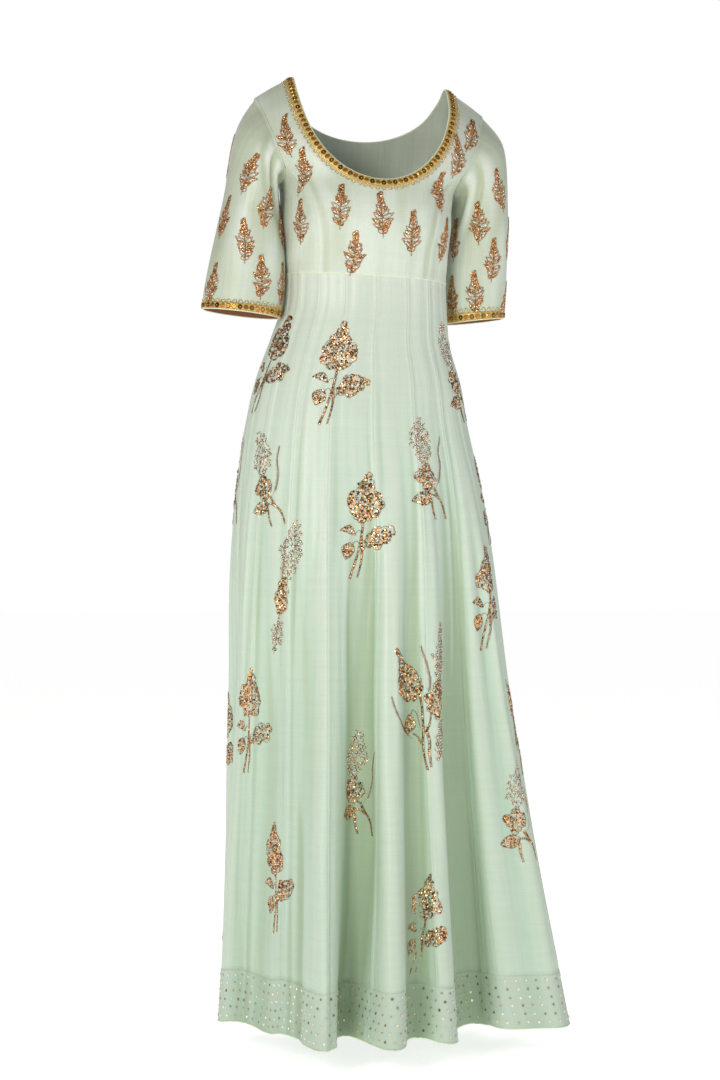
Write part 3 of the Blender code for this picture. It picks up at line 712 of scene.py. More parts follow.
SKIRT, BODICE = Surface(skirt, skirt_cloth, 1.0), Surface(bodice, bodice_cloth, 1.0)
SLEEVES = {
    side: Surface(partial(sleeve, side), partial(sleeve_cloth, side), SIDE_SIGN[side]) for side in SIDE_SIGN
}
print("ridge beside a seam:", round(float(seam_relief(0.0024, True)) * 1000, 2), "mm")

# %% [markdown]
# ## Silk, facing and lace
# The gown is a fine handloom silk with a little cotton in it. Its weft has slubs, short thick places in the
# thread, so that fine level lines run across every panel, and the cloth has a soft satin glow rather than a
# shine. It is dyed paler at the bodice and greener towards the hem, and near the shoulders it is darkened
# again as painted shade. Painted light is also laid into the silk's colour: a painted highlight on the crests
# of folds and in long sheen streaks, and painted shade in the hollows and over the sleeves. The threads are
# about 0.25 mm apart, too fine to show in a picture of a whole gown, so the slubs are drawn at 1 to 2 mm and
# the weave is left as a soft grain in the bump. Every cloth reads its own UV map, which is laid out in metres
# across and up the piece.


# %% Nodes of a cloth
def new_material(name):
    """A material with an empty tree of nodes."""
    material = bpy.data.materials.new(name)
    material.use_nodes = True
    tree = material.node_tree
    tree.nodes.clear()
    return material, tree


def show(tree, look):
    """A shader with this look, as what the material shows."""
    shader = node(tree, "ShaderNodeBsdfPrincipled", look)
    node(tree, "ShaderNodeOutputMaterial", {"Surface": shader.outputs["BSDF"]})


def stretched_noise(tree, across, up, detail=2.0, seed=0.0):
    """Noise with so many spots a metre across and up the cloth."""
    place = output(tree, "ShaderNodeUVMap", uv_map="cloth")
    spacing, start = {0: place, 1: (across, up, 0.0)}, {1: (seed, seed, 0.0)}
    start[0] = output(tree, "ShaderNodeVectorMath", spacing, operation="MULTIPLY")
    moved = output(tree, "ShaderNodeVectorMath", start, operation="ADD")
    settings = {"Vector": moved, "Scale": 1.0, "Detail": detail, "Roughness": 0.6}
    return output(tree, "ShaderNodeTexNoise", settings, noise_dimensions="2D")


def ramp(tree, value, stops):
    """A colour ramp through (place, hex) stops."""
    item = node(tree, "ShaderNodeValToRGB", {"Fac": value})
    elements = item.color_ramp.elements
    while len(elements) < len(stops):
        elements.new(0.5)
    for element, (place, code) in zip(elements, stops):
        element.position = place
        element.color = linear(code)
    return item.outputs["Color"]


def ranged(tree, value, given=(0.0, 1.0), to=(0.0, 1.0)):
    """A value that runs over one range, stretched over another."""
    settings = {"Value": value, "From Min": given[0], "From Max": given[1], "To Min": to[0], "To Max": to[1]}
    return output(tree, "ShaderNodeMapRange", settings)


def by_height(tree, low, high):
    """0 at the low height of the gown and 1 at the high one."""
    place = node(tree, "ShaderNodeTexCoord").outputs["Object"]
    z = node(tree, "ShaderNodeSeparateXYZ", {0: place}).outputs["Z"]
    return ranged(tree, z, (low, high))


def times(tree, colour, value, low, high):
    """The colour made darker or lighter by a value from 0 to 1."""
    level = ranged(tree, value, to=(low, high))
    return output(tree, "ShaderNodeVectorMath", {0: colour, "Scale": level}, operation="SCALE")


# %% Silk, band cloth, facing and piping
SLUBS_PER_M = 620.0  # up the cloth


def woven(name, stops, slub, roughness, sheen, bump, painted_sheen_streaks=0.0):
    """A woven cloth: a colour by height with painted light in it, paler on crests and in sheen streaks as a
    painted highlight and greener in hollows as painted shade, with level slub lines, a grain and a sheen.
    """
    material, tree = new_material(name)
    colour = ramp(tree, by_height(tree, HEM_Z, 0.0), stops)
    fine = stretched_noise(tree, 14.0, SLUBS_PER_M, 2.0)
    broad = stretched_noise(tree, 5.0, 90.0, 2.0, 7.3)
    warp = stretched_noise(tree, 520.0, 12.0, 1.0, 3.1)
    # Painted light: the fold attribute makes the colour paler on crests (painted highlight) and greener and
    # darker in hollows (painted shade), and a long stretched noise adds painted sheen streaks.
    folded = node(tree, "ShaderNodeAttribute", attribute_name="fold").outputs["Fac"]
    painted_sheen_streak = ranged(tree, stretched_noise(tree, 24.0, 1.3, 3.0, 2.2), (0.3, 0.7), (-painted_sheen_streaks, painted_sheen_streaks))
    laid = output(tree, "ShaderNodeMath", {0: folded, 1: painted_sheen_streak}, operation="ADD")
    painted_fold_light = ramp(tree, ranged(tree, laid, (-1.0, 1.0)), ((0.0, "#d4dcca"), (0.5, "#f0f8f5"), (1.0, "#ffffff")))
    colour = output(tree, "ShaderNodeVectorMath", {0: colour, 1: painted_fold_light}, operation="MULTIPLY")
    colour = times(tree, colour, fine, 1 - slub, 1 + slub)
    colour = times(tree, colour, broad, 1 - 0.6 * slub, 1 + 0.6 * slub)
    grain = output(tree, "ShaderNodeMath", {0: fine, 1: warp}, operation="ADD")
    worn = stretched_noise(tree, 75.0, 3.5, 2.0, 5.7)
    crushed = {"Height": worn, "Strength": 0.5, "Distance": 0.0022}
    threads = {"Height": grain, "Strength": bump, "Distance": 0.0004}
    threads["Normal"] = output(tree, "ShaderNodeBump", crushed)
    look = {"Base Color": colour, "Normal": output(tree, "ShaderNodeBump", threads)}
    look["Roughness"] = ranged(tree, broad, to=(roughness - 0.06, roughness + 0.06))
    look |= {"Sheen Weight": sheen, "Sheen Roughness": 0.35, "Sheen Tint": linear("#f4f7ee")}
    look |= {"IOR": 1.45, "Specular IOR Level": 0.4}
    show(tree, look)
    return material


# Stops run from the hem (0) to the shoulder (1). The two top stops are darker than the one below them, a
# painted shade that tones down the lamp's light on the upper bodice.
SILK = woven(
    "Mint handloom silk",
    (
        (0.0, "#c1d1be"),
        (0.35, "#c8d7c4"),
        (0.62, "#d1dccc"),
        (0.80, "#d8dace"),
        (0.90, "#d2d4c7"),
        (1.0, "#ced0c3"),
    ),
    slub=0.045,
    roughness=0.38,
    sheen=0.30,
    bump=0.35,
    painted_sheen_streaks=0.30,
)
BAND_CLOTH = woven("Matte mint band cloth", ((0.0, "#b9c9b8"), (0.1, "#bdccbb")), 0.03, 0.62, 0.12, 0.3)
FACING_CLOTH = woven("Copper-brown facing satin", ((0.0, "#a06349"), (1.0, "#aa7057")), 0.05, 0.42, 0.15, 0.3)
PIPING_CLOTH = woven("Pale mint satin piping", ((0.0, "#dfe6c4"), (1.0, "#e8ecd0")), 0.03, 0.40, 0.20, 0.2)
print([m.name for m in (SILK, BAND_CLOTH, FACING_CLOTH, PIPING_CLOTH)])
print("slubs are drawn at", round(1000 / SLUBS_PER_M, 1), "mm")

# %% [markdown]
# ## From a formula to a piece of cloth
# Each cut piece is a fine grid of points on its formula. The grid gets an inner layer a millimetre inside
# and a rim along every open edge, so that it is a real thickness of cloth with nothing open. The UV map is
# laid out from the real lengths across and up, which keeps the weave the same size on every piece.


# %% Cloth maker
def even_grid(surface, first, last, rows, distances, columns):
    """Places across, row by row, so that the columns near both edges keep their distances from the seams."""
    u = first + (last - first) * np.linspace(0.0, 1.0, 121)
    places = np.zeros((columns + 2 * len(distances) - 1, len(rows)))
    across = np.zeros_like(places)
    for index, row in enumerate(rows):
        length = run_length(surface(u, np.full(u.shape, row)))
        edge = np.minimum(np.array(distances), 0.12 * length[-1] * np.arange(len(distances)))
        middle = np.linspace(edge[-1], length[-1] - edge[-1], columns + 1)[1:-1]
        wanted = np.concatenate([edge, middle, length[-1] - edge[::-1]])
        places[:, index] = np.interp(wanted, length, u)
        across[:, index] = wanted - length[-1] / 2
    return places, across


def grid_quads(across, up, columns, rows, closed=False):
    """Quads of a grid whose points run row by row inside each column, with their UV corners."""
    c, r = np.indices((columns if closed else columns - 1, rows - 1)).reshape(2, -1)
    beside = (c + 1) % columns
    quads = np.stack([c * rows + r, beside * rows + r, beside * rows + r + 1, c * rows + r + 1], axis=1)
    spot = np.stack(np.broadcast_arrays(across, up), axis=-1)
    return quads, np.stack([spot[c, r], spot[c + 1, r], spot[c + 1, r + 1], spot[c, r + 1]], axis=1)


def cloth_mesh(name, outer, inner, quads, places, material, fold=None):
    """One closed wall of cloth: an outer layer, an inner one turned round, and a rim at every open edge."""
    outer, inner = outer.reshape(-1, 3), inner.reshape(-1, 3)
    used = np.unique(quads)
    quads = np.searchsorted(used, quads)
    outer, inner = outer[used], inner[used]
    fold = np.zeros(len(used)) if fold is None else fold.ravel()[used]
    count = len(outer)
    first = quads[len(quads) // 2]
    facing = np.cross(outer[first[2]] - outer[first[0]], outer[first[3]] - outer[first[1]])
    if np.dot(facing, outer[first[0]] - inner[first[0]]) < 0:
        quads, places = quads[:, ::-1], places[:, ::-1]
    edges = np.stack([quads, np.roll(quads, -1, axis=1)], axis=-1).reshape(-1, 2)
    corner = np.stack([places, np.roll(places, -1, axis=1)], axis=2).reshape(-1, 2, 2)
    lone = ~np.isin(edges[:, 0] * count + edges[:, 1], edges[:, 1] * count + edges[:, 0])
    a, b = edges[lone, 0], edges[lone, 1]
    rim = np.stack([b, a, a + count, b + count], axis=1)
    rim_uv = np.stack([corner[lone, 1], corner[lone, 0], corner[lone, 0], corner[lone, 1]], axis=1)
    faces = np.concatenate([quads, quads[:, ::-1] + count, rim])
    uvs = np.concatenate([places, places[:, ::-1], rim_uv])
    mesh = bpy.data.meshes.new(name)
    mesh.from_pydata(np.concatenate([outer, inner]).tolist(), [], faces.tolist())
    mesh.uv_layers.new(name="cloth").data.foreach_set("uv", uvs.astype(np.float32).ravel())
    # the fold attribute holds each point's painted light: painted shade in hollows, painted highlight on
    # crests
    tone = mesh.attributes.new("fold", "FLOAT", "POINT").data
    tone.foreach_set("value", np.concatenate([fold, fold]).astype(np.float32))
    mesh.materials.append(material)
    mesh.shade_smooth()
    mesh.set_sharp_from_angle(angle=math.radians(60))
    return add_object(name, mesh)


def cloth_piece(name, outer, inner, across, up, material, closed=False, fold=None):
    """A grid of points as one piece of cloth, with its UV map in metres."""
    quads, places = grid_quads(across, up, *outer.shape[:2], closed)
    return cloth_mesh(name, outer, inner, quads, places, material, fold)


def hold_back(points, out, column, distance):
    """Draw one side column of a grid back from its seam, square to the seam and along the cloth."""
    away = unit(np.cross(out[column], np.gradient(points[column], axis=0)))
    beside = 1 if column == 0 else -2
    sign = np.sign(np.sum(away * (points[beside] - points[column]), axis=-1, keepdims=True))
    points[column] += sign * away * distance


print("a wall of", CLOTH * 1000, "mm silk")

# %% [markdown]
# ## The skirt: eighteen kalis
# A kali is a long wedge, narrow at the waist and wide at the hem. Eighteen of them sewn side by side turn a
# narrow waist into a very wide hem with no gathers. Each is made from the skirt's formula between two
# seams. The columns crowd towards the seams, so that the pressed turnings show.

# %% Kalis
PIECES = {}
TOP_ROWS = (WAIST_Z - SEAM_GAP, -0.3095, -0.3125, -0.317)
LOW_ROWS = (-1.3705, -1.3735, -1.3760, BAND_Z + SEAM_GAP / 2)
KALI_ROWS = np.concatenate([TOP_ROWS, np.linspace(-0.326, -1.366, 92), LOW_ROWS])
SEAM_COLUMNS = (0.0, 0.0012, 0.0024, 0.0038, 0.0062, 0.0095)  # distances from a seam


def skirt_piece(name, first, last, rows, columns, material):
    """A stretch of the skirt between two places round it, in kalis, and down a list of heights."""
    places, across = even_grid(skirt, first, last, rows, SEAM_COLUMNS, columns)
    heights = np.broadcast_to(rows, places.shape)
    outer = skirt_cloth(places, heights)
    out = directions(skirt, places, heights)[2]
    hold_back(outer, out, 0, SEAM_GAP / 2)
    hold_back(outer, out, -1, SEAM_GAP / 2)
    # painted shade in the skirt's hollows and painted highlight on its crests, which the silk's colour reads
    fold = painted_fold_shade(places, heights)
    item = cloth_piece(name, outer, outer - CLOTH * out, across, heights, material, False, fold)
    return item, across[-1] - across[0]


widths = []
for number in range(1, KALIS + 1):
    item, width = skirt_piece(f"silk_kali_{number:02d}", number - 1, number, KALI_ROWS, 16, SILK)
    PIECES[f"kali_{number:02d}"] = item
    widths.append((width[0], width[-1]))
for label, measure in (("mean", np.mean), ("least", np.min), ("most", np.max)):
    print(label, "width of a kali at the waist and the band:", np.round(measure(widths, axis=0), 3))
print("triangles in a kali:", triangles(PIECES["kali_01"]))

# %% [markdown]
# ## The hem band
# A separate band of matte cloth finishes the skirt, cut in six lengths that each run over three kalis.

# %% Band
TOP_ROWS = (BAND_Z - SEAM_GAP / 2, -1.3800, -1.3822, -1.3850)
BAND_ROWS = np.concatenate([TOP_ROWS, np.linspace(-1.389, -1.4580, 12), [HEM_Z]])
widths = []
for number in range(1, KALIS // KALIS_PER_BAND + 1):
    first = (number - 1) * KALIS_PER_BAND - 1
    last = first + KALIS_PER_BAND
    item, width = skirt_piece(f"dotted_band_{number}", first, last, BAND_ROWS, 60, BAND_CLOTH)
    PIECES[f"hem_band_{number}"] = item
    widths.append(width[-1])
print("band lengths:", np.round(widths, 3))

# %% [markdown]
# ## The bodice
# Princess seams shape the front: a centre panel that carries the neck, and a small side front under each
# arm. The back is one panel. The rows crowd at the neck edge, where the curve turns fastest, and the two
# halves of a panel share the points of the centre line below the neck.

# %% Seam directions at the armholes
def seam_outward(side):
    """Armhole points and, mitred where they meet, the outward directions of bodice and sleeve."""
    points, bodice_out, sleeve_out = [], [], []
    for back in (False, True):
        turns, stations, run = ARMHOLES[side, back]
        places = run_length(run) / run_length(run)[-1] / 2
        places = 1.0 - places if back else places
        points.append(run)
        bodice_out.append(directions(bodice, turns, stations)[2])
        sleeve_out.append(outwards(SLEEVES[side], places, 2 * TINY))
    points, bodice_out, sleeve_out = (np.concatenate(part) for part in (points, bodice_out, sleeve_out))
    share = ease(np.sum(bodice_out * sleeve_out, axis=1, keepdims=True), 0.0, 0.4)
    middle = bodice_out + sleeve_out
    middle /= np.maximum(np.sum(middle * bodice_out, axis=1, keepdims=True), 0.3)
    return points, bodice_out * (1 - share) + middle * share, sleeve_out * (1 - share) + middle * share


SEAMS = {side: seam_outward(side) for side in SIDE_SIGN}


def nearest(points, table, values):
    """For each point, the value that goes with the nearest point of a table."""
    gaps = np.linalg.norm(points[:, None] - table, axis=2)
    return values[np.argmin(gaps, axis=1)]


# %% Bodice panels
# degrees along the neck edge from its middle, then heights from the waist up to the neck
NECK_ROWS = np.arange(0, 91, 3)
ABOVE_WAIST = (-0.307, -0.3048, -0.3022, -0.2985)
FRONT_LOW = np.concatenate([ABOVE_WAIST, np.linspace(-0.293, -0.169, 26), [-0.1665, -0.1648]])
BACK_LOW = np.concatenate([ABOVE_WAIST, np.linspace(-0.293, -0.090, 36), [-0.0865]])
PANEL_COLUMNS, SIDE_COLUMNS = 22, 12
# painted light of the bodice: relief of this size gets the full painted highlight or painted shade
BODICE_RELIEF_FOR_FULL_SHADE = 0.0016  # relief that shows as a full crest or hollow


def panel_rows(low, back):
    """Stations up a panel: the rows below the neck, then the neck's own, closer where its edge lies level."""
    depth = NECK_DEPTH[back]
    neck = station_at(-depth * np.cos(np.radians(NECK_ROWS)), back)
    stations = np.concatenate([station_at(low, back), neck])
    stations[0] = 2.0 - TINY if back else TINY
    stations[-1] = 1.0 + 5 * TINY if back else 1.0 - 5 * TINY
    return stations


def panel(low_turn, high_turn, stations, columns, edge_from, side):
    """Grid of a panel between two limits, mitred to the sleeve from one row on."""
    share = np.linspace(0.0, 1.0, columns + 1)[:, None]
    turns = low_turn * (1 - share) + high_turn * share
    stations = np.broadcast_to(stations, turns.shape)
    outer = bodice_cloth(turns, stations)
    out = directions(bodice, turns, stations)[2]
    out[-1, edge_from:] = nearest(outer[-1, edge_from:], SEAMS[side][0], SEAMS[side][1])
    hold_back(outer, out, -1, SEAM_GAP / 2)
    base = bodice(turns, stations)
    across = run_length(base) + base[0, :, 0] * SIDE_SIGN[side]
    up = np.broadcast_to(run_length(base[len(base) // 2]), across.shape)
    # painted highlight on the creases' crests and painted shade in their hollows
    fold = np.clip(bodice_relief(turns, stations) / BODICE_RELIEF_FOR_FULL_SHADE, -0.7, 0.7)
    return outer, out, SIDE_SIGN[side] * across, up, fold


def joined_halves(name, stations, open_from, edge_turn, edge_from, back):
    """A centre panel as one cloth: two halves that share the centre line up to the neck and part there."""
    outers, inners, quads, places, folds = [], [], [], [], []
    rows = len(stations)
    for index, (side, sign) in enumerate(SIDE_SIGN.items()):
        inside = np.where(np.arange(rows) > open_from, neck_turn(stations, back), 0.0)
        turns = (sign * inside, sign * edge_turn(stations))
        outer, out, across, up, fold = panel(*turns, stations, PANEL_COLUMNS, edge_from, side)
        own, own_places = grid_quads(across, up, *outer.shape[:2])
        own = own + index * outer.shape[0] * rows
        if sign > 0:
            start = outer.shape[0] * rows
            shared = (own >= start) & (own <= start + open_from)
            own = np.where(shared, own - start, own)[:, ::-1]
            own_places = own_places[:, ::-1]
        outers.append(outer.reshape(-1, 3))
        inners.append((outer - CLOTH * out).reshape(-1, 3))
        quads.append(own)
        places.append(own_places)
        folds.append(fold.ravel())
    parts = (np.concatenate(part) for part in (outers, inners, quads, places))
    return cloth_mesh(name, *parts, SILK, np.concatenate(folds))


front_rows, back_rows = panel_rows(FRONT_LOW, False), panel_rows(BACK_LOW, True)
underarm, tip = ARMHOLE_ROWS[0][0], PRINCESS_ROWS[-1][0]


def first_above(rows, height):
    """Index of the first row above a height."""
    return int(np.argmax(height_at(rows) > height))


open_front = (princess_turn, first_above(front_rows, tip), False)
open_back = (armhole_turn, first_above(back_rows, underarm), True)
PIECES["bodice_front"] = joined_halves("silk_bodice_front", front_rows, len(FRONT_LOW), *open_front)
PIECES["bodice_back"] = joined_halves("silk_bodice_back", back_rows, len(BACK_LOW), *open_back)
rows = front_rows[height_at(front_rows) < tip + 0.0035]
for side, sign in SIDE_SIGN.items():
    edges = sign * princess_turn(rows), sign * armhole_turn(rows)
    outer, out, across, up, fold = panel(*edges, rows, SIDE_COLUMNS, first_above(rows, underarm), side)
    hold_back(outer, out, 0, SEAM_GAP / 2)
    wall = (outer, outer - CLOTH * out, across, up)
    PIECES[f"bodice_side_{side}"] = cloth_piece(f"silk_side_front_{side}", *wall, SILK, False, fold)
print("faces in the centre front:", len(PIECES["bodice_front"].data.polygons))

# %% [markdown]
# ## Sleeves, cuffs and their facings
# A set-in sleeve is one piece, seamed under the arm. Drag lines run down from the front and the back of the
# armhole, where the arm pulls the cloth. Inside each cuff there is a facing of copper-brown satin.

# %% Sleeves
TOP_RINGS = (0.0, 0.035, 0.07, 0.12, 0.18, 0.26, 0.36, 0.48)
CUFF_RINGS = (5.5, CUFF_LACE, 5.7, 5.85, CUFF_EDGE)
SLEEVE_RINGS = np.concatenate([TOP_RINGS, np.linspace(0.6, 5.4, 44), CUFF_RINGS])
SLEEVE_RELIEF_FOR_FULL_SHADE, FACING_CLOTH_WIDTH = 0.0020, 0.0008
AROUND_SLEEVE = 104  # columns of a sleeve's grid


def sleeve_grid(side, rings):
    """Points, directions, places on the cut and painted fold shade of a sleeve or a stretch of it."""
    turns, rows = np.meshgrid(np.arange(AROUND_SLEEVE) / AROUND_SLEEVE, rings, indexing="ij")
    outer = sleeve_cloth(side, turns, rows)
    out = outwards(SLEEVES[side], turns, np.maximum(rows, 2 * TINY))
    closed = np.concatenate([outer, outer[:1]])
    across = run_length(closed)
    across = across - across[-1] / 2
    up = run_length(closed.swapaxes(0, 1)[::-1])[::-1].T
    # painted light: painted shade in the creases' hollows and painted highlight on their crests, and the
    # shift of 0.4 paints shade over the whole sleeve
    fold = np.clip(sleeve_relief(side, turns, rows) / SLEEVE_RELIEF_FOR_FULL_SHADE - 0.4, -1.0, 0.6)
    return outer, out, across, up, fold


for side in SIDE_SIGN:
    outer, out, across, up, fold = sleeve_grid(side, SLEEVE_RINGS)
    out[:, 0] = nearest(outer[:, 0], SEAMS[side][0], SEAMS[side][2])
    down = outer[:, 1] - outer[:, 0]
    outer[:, 0] += SEAM_GAP * down / np.linalg.norm(down, axis=-1, keepdims=True)
    wall = (outer, outer - CLOTH * out, across, up)
    PIECES[f"sleeve_{side}"] = cloth_piece(f"silk_sleeve_{side}", *wall, SILK, True, fold)
    outer, out, across, up, _ = sleeve_grid(side, np.linspace(CUFF_FACING, CUFF_EDGE, 8))
    face = outer - (CLOTH + SEAM_GAP) * out
    wall = (face, face - FACING_CLOTH_WIDTH * out, across, up)
    PIECES[f"cuff_facing_{side}"] = cloth_piece(f"cuff_facing_satin_{side}", *wall, FACING_CLOTH, True)
print("triangles in a sleeve:", triangles(PIECES["sleeve_right"]))

# %% [markdown]
# ## A tree that sews things on
# Sequins, stones, beads and foil dots are the same small shape thousands of times, each lying flat on the
# cloth in its own direction. One Geometry Nodes tree does that: its input is a cloud of points that carry a
# direction out of the cloth, a direction along the thread, a size and a tone, and it puts a shape on each,
# realizes the instances and sets the material. The shape is a disc with a bevelled rim, or a cut bead with
# a point above and below, as few faces as the eye needs at that size.


# %% Sewing tree
def sewing_tree(name, pointed, soft_faces):
    """A tree that puts a shape on every point: a bevelled disc, or a bead with a point above and below."""
    tree = bpy.data.node_groups.new(name, "GeometryNodeTree")
    for label, kind in {"Points": "Geometry", "Corners": "Int", "Rim": "Float", "Finish": "Material"}.items():
        tree.interface.new_socket(label, in_out="INPUT", socket_type="NodeSocket" + kind)
    tree.interface.new_socket("Sewn", in_out="OUTPUT", socket_type="NodeSocketGeometry")
    given = node(tree, "NodeGroupInput").outputs
    if pointed:
        sizes = {"Radius": 0.5, "Segments": given["Corners"], "Rings": 2}
        shape = output(tree, "GeometryNodeMeshUVSphere", sizes)
    else:
        top = output(tree, "ShaderNodeMath", {0: 0.5, 1: given["Rim"]}, operation="MULTIPLY")
        sizes = {"Vertices": given["Corners"], "Radius Top": top, "Radius Bottom": 0.5, "Depth": 1.0}
        shape = output(tree, "GeometryNodeMeshCone", sizes)
    named = {}
    for label in ("out", "along", "size"):
        item = node(tree, "GeometryNodeInputNamedAttribute", {"Name": label}, data_type="FLOAT_VECTOR")
        named[label] = item.outputs["Attribute"]
    axes = {"Primary Axis": named["out"], "Secondary Axis": named["along"]}
    facing = output(tree, "FunctionNodeAxesToRotation", axes, primary_axis="Z", secondary_axis="X")
    spread = {"Points": given["Points"], "Instance": shape, "Rotation": facing, "Scale": named["size"]}
    sewn = output(tree, "GeometryNodeInstanceOnPoints", spread)
    real = output(tree, "GeometryNodeRealizeInstances", {"Geometry": sewn})
    soft = output(tree, "GeometryNodeSetShadeSmooth", {"Geometry": real, "Shade Smooth": soft_faces})
    done = output(tree, "GeometryNodeSetMaterial", {"Geometry": soft, "Material": given["Finish"]})
    node(tree, "NodeGroupOutput", {"Sewn": done})
    return tree


TREES = {
    "disc": sewing_tree("Discs on cloth", False, False),
    "cup": sewing_tree("Cupped sequins on cloth", True, False),
    "bead": sewing_tree("Beads on cloth", True, True),
}


TRIMS = {}


def sew(name, spots, shape, material, corners=8, rim=0.75):
    """A trim of small shapes; each spot is a point, its out and along, its size and its tone."""
    points, out, along, size, tone = (np.concatenate(part) for part in zip(*spots))
    mesh = bpy.data.meshes.new(name + "_points")
    mesh.from_pydata(points.tolist(), [], [])
    for label, values in (("out", out), ("along", along), ("size", size)):
        data = mesh.attributes.new(label, "FLOAT_VECTOR", "POINT").data
        data.foreach_set("vector", values.astype(np.float32).ravel())
    mesh.attributes.new("tone", "FLOAT", "POINT").data.foreach_set("value", tone.astype(np.float32))
    cloud = add_object(name + "_points", mesh)
    modifier = cloud.modifiers.new("Sewing", "NODES")
    modifier.node_group = TREES[shape]
    sockets = {item.name: item.identifier for item in TREES[shape].interface.items_tree}
    modifier[sockets["Corners"]] = corners
    modifier[sockets["Rim"]] = rim
    modifier[sockets["Finish"]] = material
    seen = cloud.evaluated_get(bpy.context.evaluated_depsgraph_get())
    made = bpy.data.meshes.new_from_object(seen)
    made.name = name
    for label in ("out", "along", "size"):
        if label in made.attributes:
            made.attributes.remove(made.attributes[label])
    cloud.modifiers.remove(modifier)
    bpy.data.objects.remove(cloud, do_unlink=True)
    TRIMS[name] = add_object(name, made)
    print(name, len(points), "shapes,", triangles(TRIMS[name]), "triangles")


# %% [markdown]
# ## Metal finishes
# The embroidery is zardozi: copper-coloured sequins and coiled wire sewn by hand, with a few clear stones.
# The lace at the neck and cuffs has gilded discs on a pale gold braid, and the band's dots are pressed
# foil. Metals keep the default IOR. Each small shape has its own tone, because no two sequins catch the
# light alike.


# %% Metals
def small_metal(name, dark, light, roughness, metallic=1.0, coat=0.0):
    """A metal whose tone runs from dark to light by each shape's own tone."""
    material, tree = new_material(name)
    tone = node(tree, "ShaderNodeAttribute", attribute_name="tone").outputs["Fac"]
    colour = ramp(tree, tone, ((0.0, dark), (1.0, light)))
    show(tree, {"Base Color": colour, "Roughness": roughness, "Metallic": metallic, "Coat Weight": coat})
    return material


COPPER_SEQUIN = small_metal("Copper sequin", "#6f3c16", "#ffc88c", 0.19)
COPPER_WIRE = small_metal("Coiled copper wire", "#3a200b", "#dc9e62", 0.36)
CLEAR_STONE = small_metal("Clear stone on silver", "#f0d8bc", "#ffffff", 0.14, 0.30, 0.6)
GILDED_DISC = small_metal("Gilded lace disc", "#543a12", "#cf9a4c", 0.28)
GOLD_BEAD = small_metal("Gold lace bead", "#c08c40", "#ffe6a8", 0.24)
PRESSED_FOIL = small_metal("Pressed foil dot", "#8d7340", "#fff0cf", 0.30)
GOLD_BRAID = woven("Gold braid", ((0.0, "#cfa65e"), (1.0, "#e3c27e")), 0.25, 0.45, 0.0, 0.6)
GOLD_BRAID.node_tree.nodes["Principled BSDF"].inputs["Metallic"].default_value = 0.4
print("seven metal finishes")

# %% [markdown]
# ## Drawing motifs flat
# An embroiderer draws each motif flat on paper before it is sewn. Here a motif is a list of small shapes in
# millimetres, with x to the right and y up the cloth: filled leaves and flower heads are packed with
# sequins, outlines and stems are rows of coiled wire. The designs are simple sprigs of leaves and blossom.

# %% Motif parts
chance = np.random.default_rng(7)
uniform = chance.uniform
# in widths of the wire: the step, and the length, width and height of a coil
WIRE_STEP, WIRE_COIL = 1.8, (2.2, 1.0, 0.8)
STEM_WIDTH, STEM_STEP, STEM_STONES = 0.82, 1.9, 0.12
BARB_STEP, BARB_LENGTH, BARB_ANGLE = 2.1, 6.2, 0.6
FLORET_STEP, SEQUIN_LEAN = 7.0, 0.26


def wire_row(path, width, tone=0.5):
    """Coiled wire along a path of (x, y) points."""
    path = np.asarray(path, float)
    length = run_length(path)
    count = max(2, int(round(length[-1] / (WIRE_STEP * width))))
    middle = (np.arange(count) + 0.5) / count * length[-1]
    x, y = point_at(path, length, middle).T
    step_x, step_y = (point_at(path, length, middle + 0.3) - point_at(path, length, middle - 0.3)).T
    tones = np.clip(tone + uniform(-0.35, 0.35, count), 0, 1)
    sizes = (share * width * np.ones(count) for share in WIRE_COIL)
    return [("wire", row) for row in zip(x, y, np.arctan2(step_y, step_x), *sizes, tones)]


def curve(points, count=24):
    """A smooth path through a few (x, y) points."""
    points = np.asarray(points, float)
    places = np.arange(len(points))
    rows = np.column_stack([places, points])
    return smooth(rows, np.linspace(0, len(points) - 1, count))


def stem(points, foot, tip):
    """Sequins sewn overlapping between two wires; foot and tip are its widths at its two ends."""
    path = curve(points, 40)
    length = run_length(path)
    foot, tip = STEM_WIDTH * foot, STEM_WIDTH * tip
    made = []
    for place in np.arange(0.5, length[-1], STEM_STEP):
        x, y = point_at(path, length, place)
        wide = (foot + (tip - foot) * place / length[-1]) * uniform(0.75, 1.1)
        x, y = x + uniform(-0.2, 0.2) * wide, y + uniform(-0.4, 0.4)
        kind, share = ("stone", 0.6) if chance.random() < STEM_STONES else ("sequin", 1.0)
        lying, tone = uniform(0, 3), uniform(0, 1)
        made.append((kind, (x, y, lying, share * wide, share * wide, 0.7 / share, tone)))
    across = np.gradient(path[:, 1]), -np.gradient(path[:, 0])
    normal = np.stack(across, 1) / np.hypot(*across)[:, None]
    half = 0.5 * (foot + (tip - foot) * np.linspace(0, 1, len(path)))[:, None]
    return made + wire_row(path + half * normal, 0.80, 0.35) + wire_row(path - half * normal, 0.80, 0.55)


print("a wire 1 mm thick has a coil every", WIRE_STEP, "mm")

# %% Leaves and packed sequins
def turned(points, x, y, angle):
    """Points turned by an angle in degrees from the upright to the right, and moved to (x, y)."""
    a = math.radians(angle)
    across, up = points[:, 0], points[:, 1]
    turned_x = x + across * math.cos(a) + up * math.sin(a)
    turned_y = y - across * math.sin(a) + up * math.cos(a)
    return np.stack([turned_x, turned_y], 1)


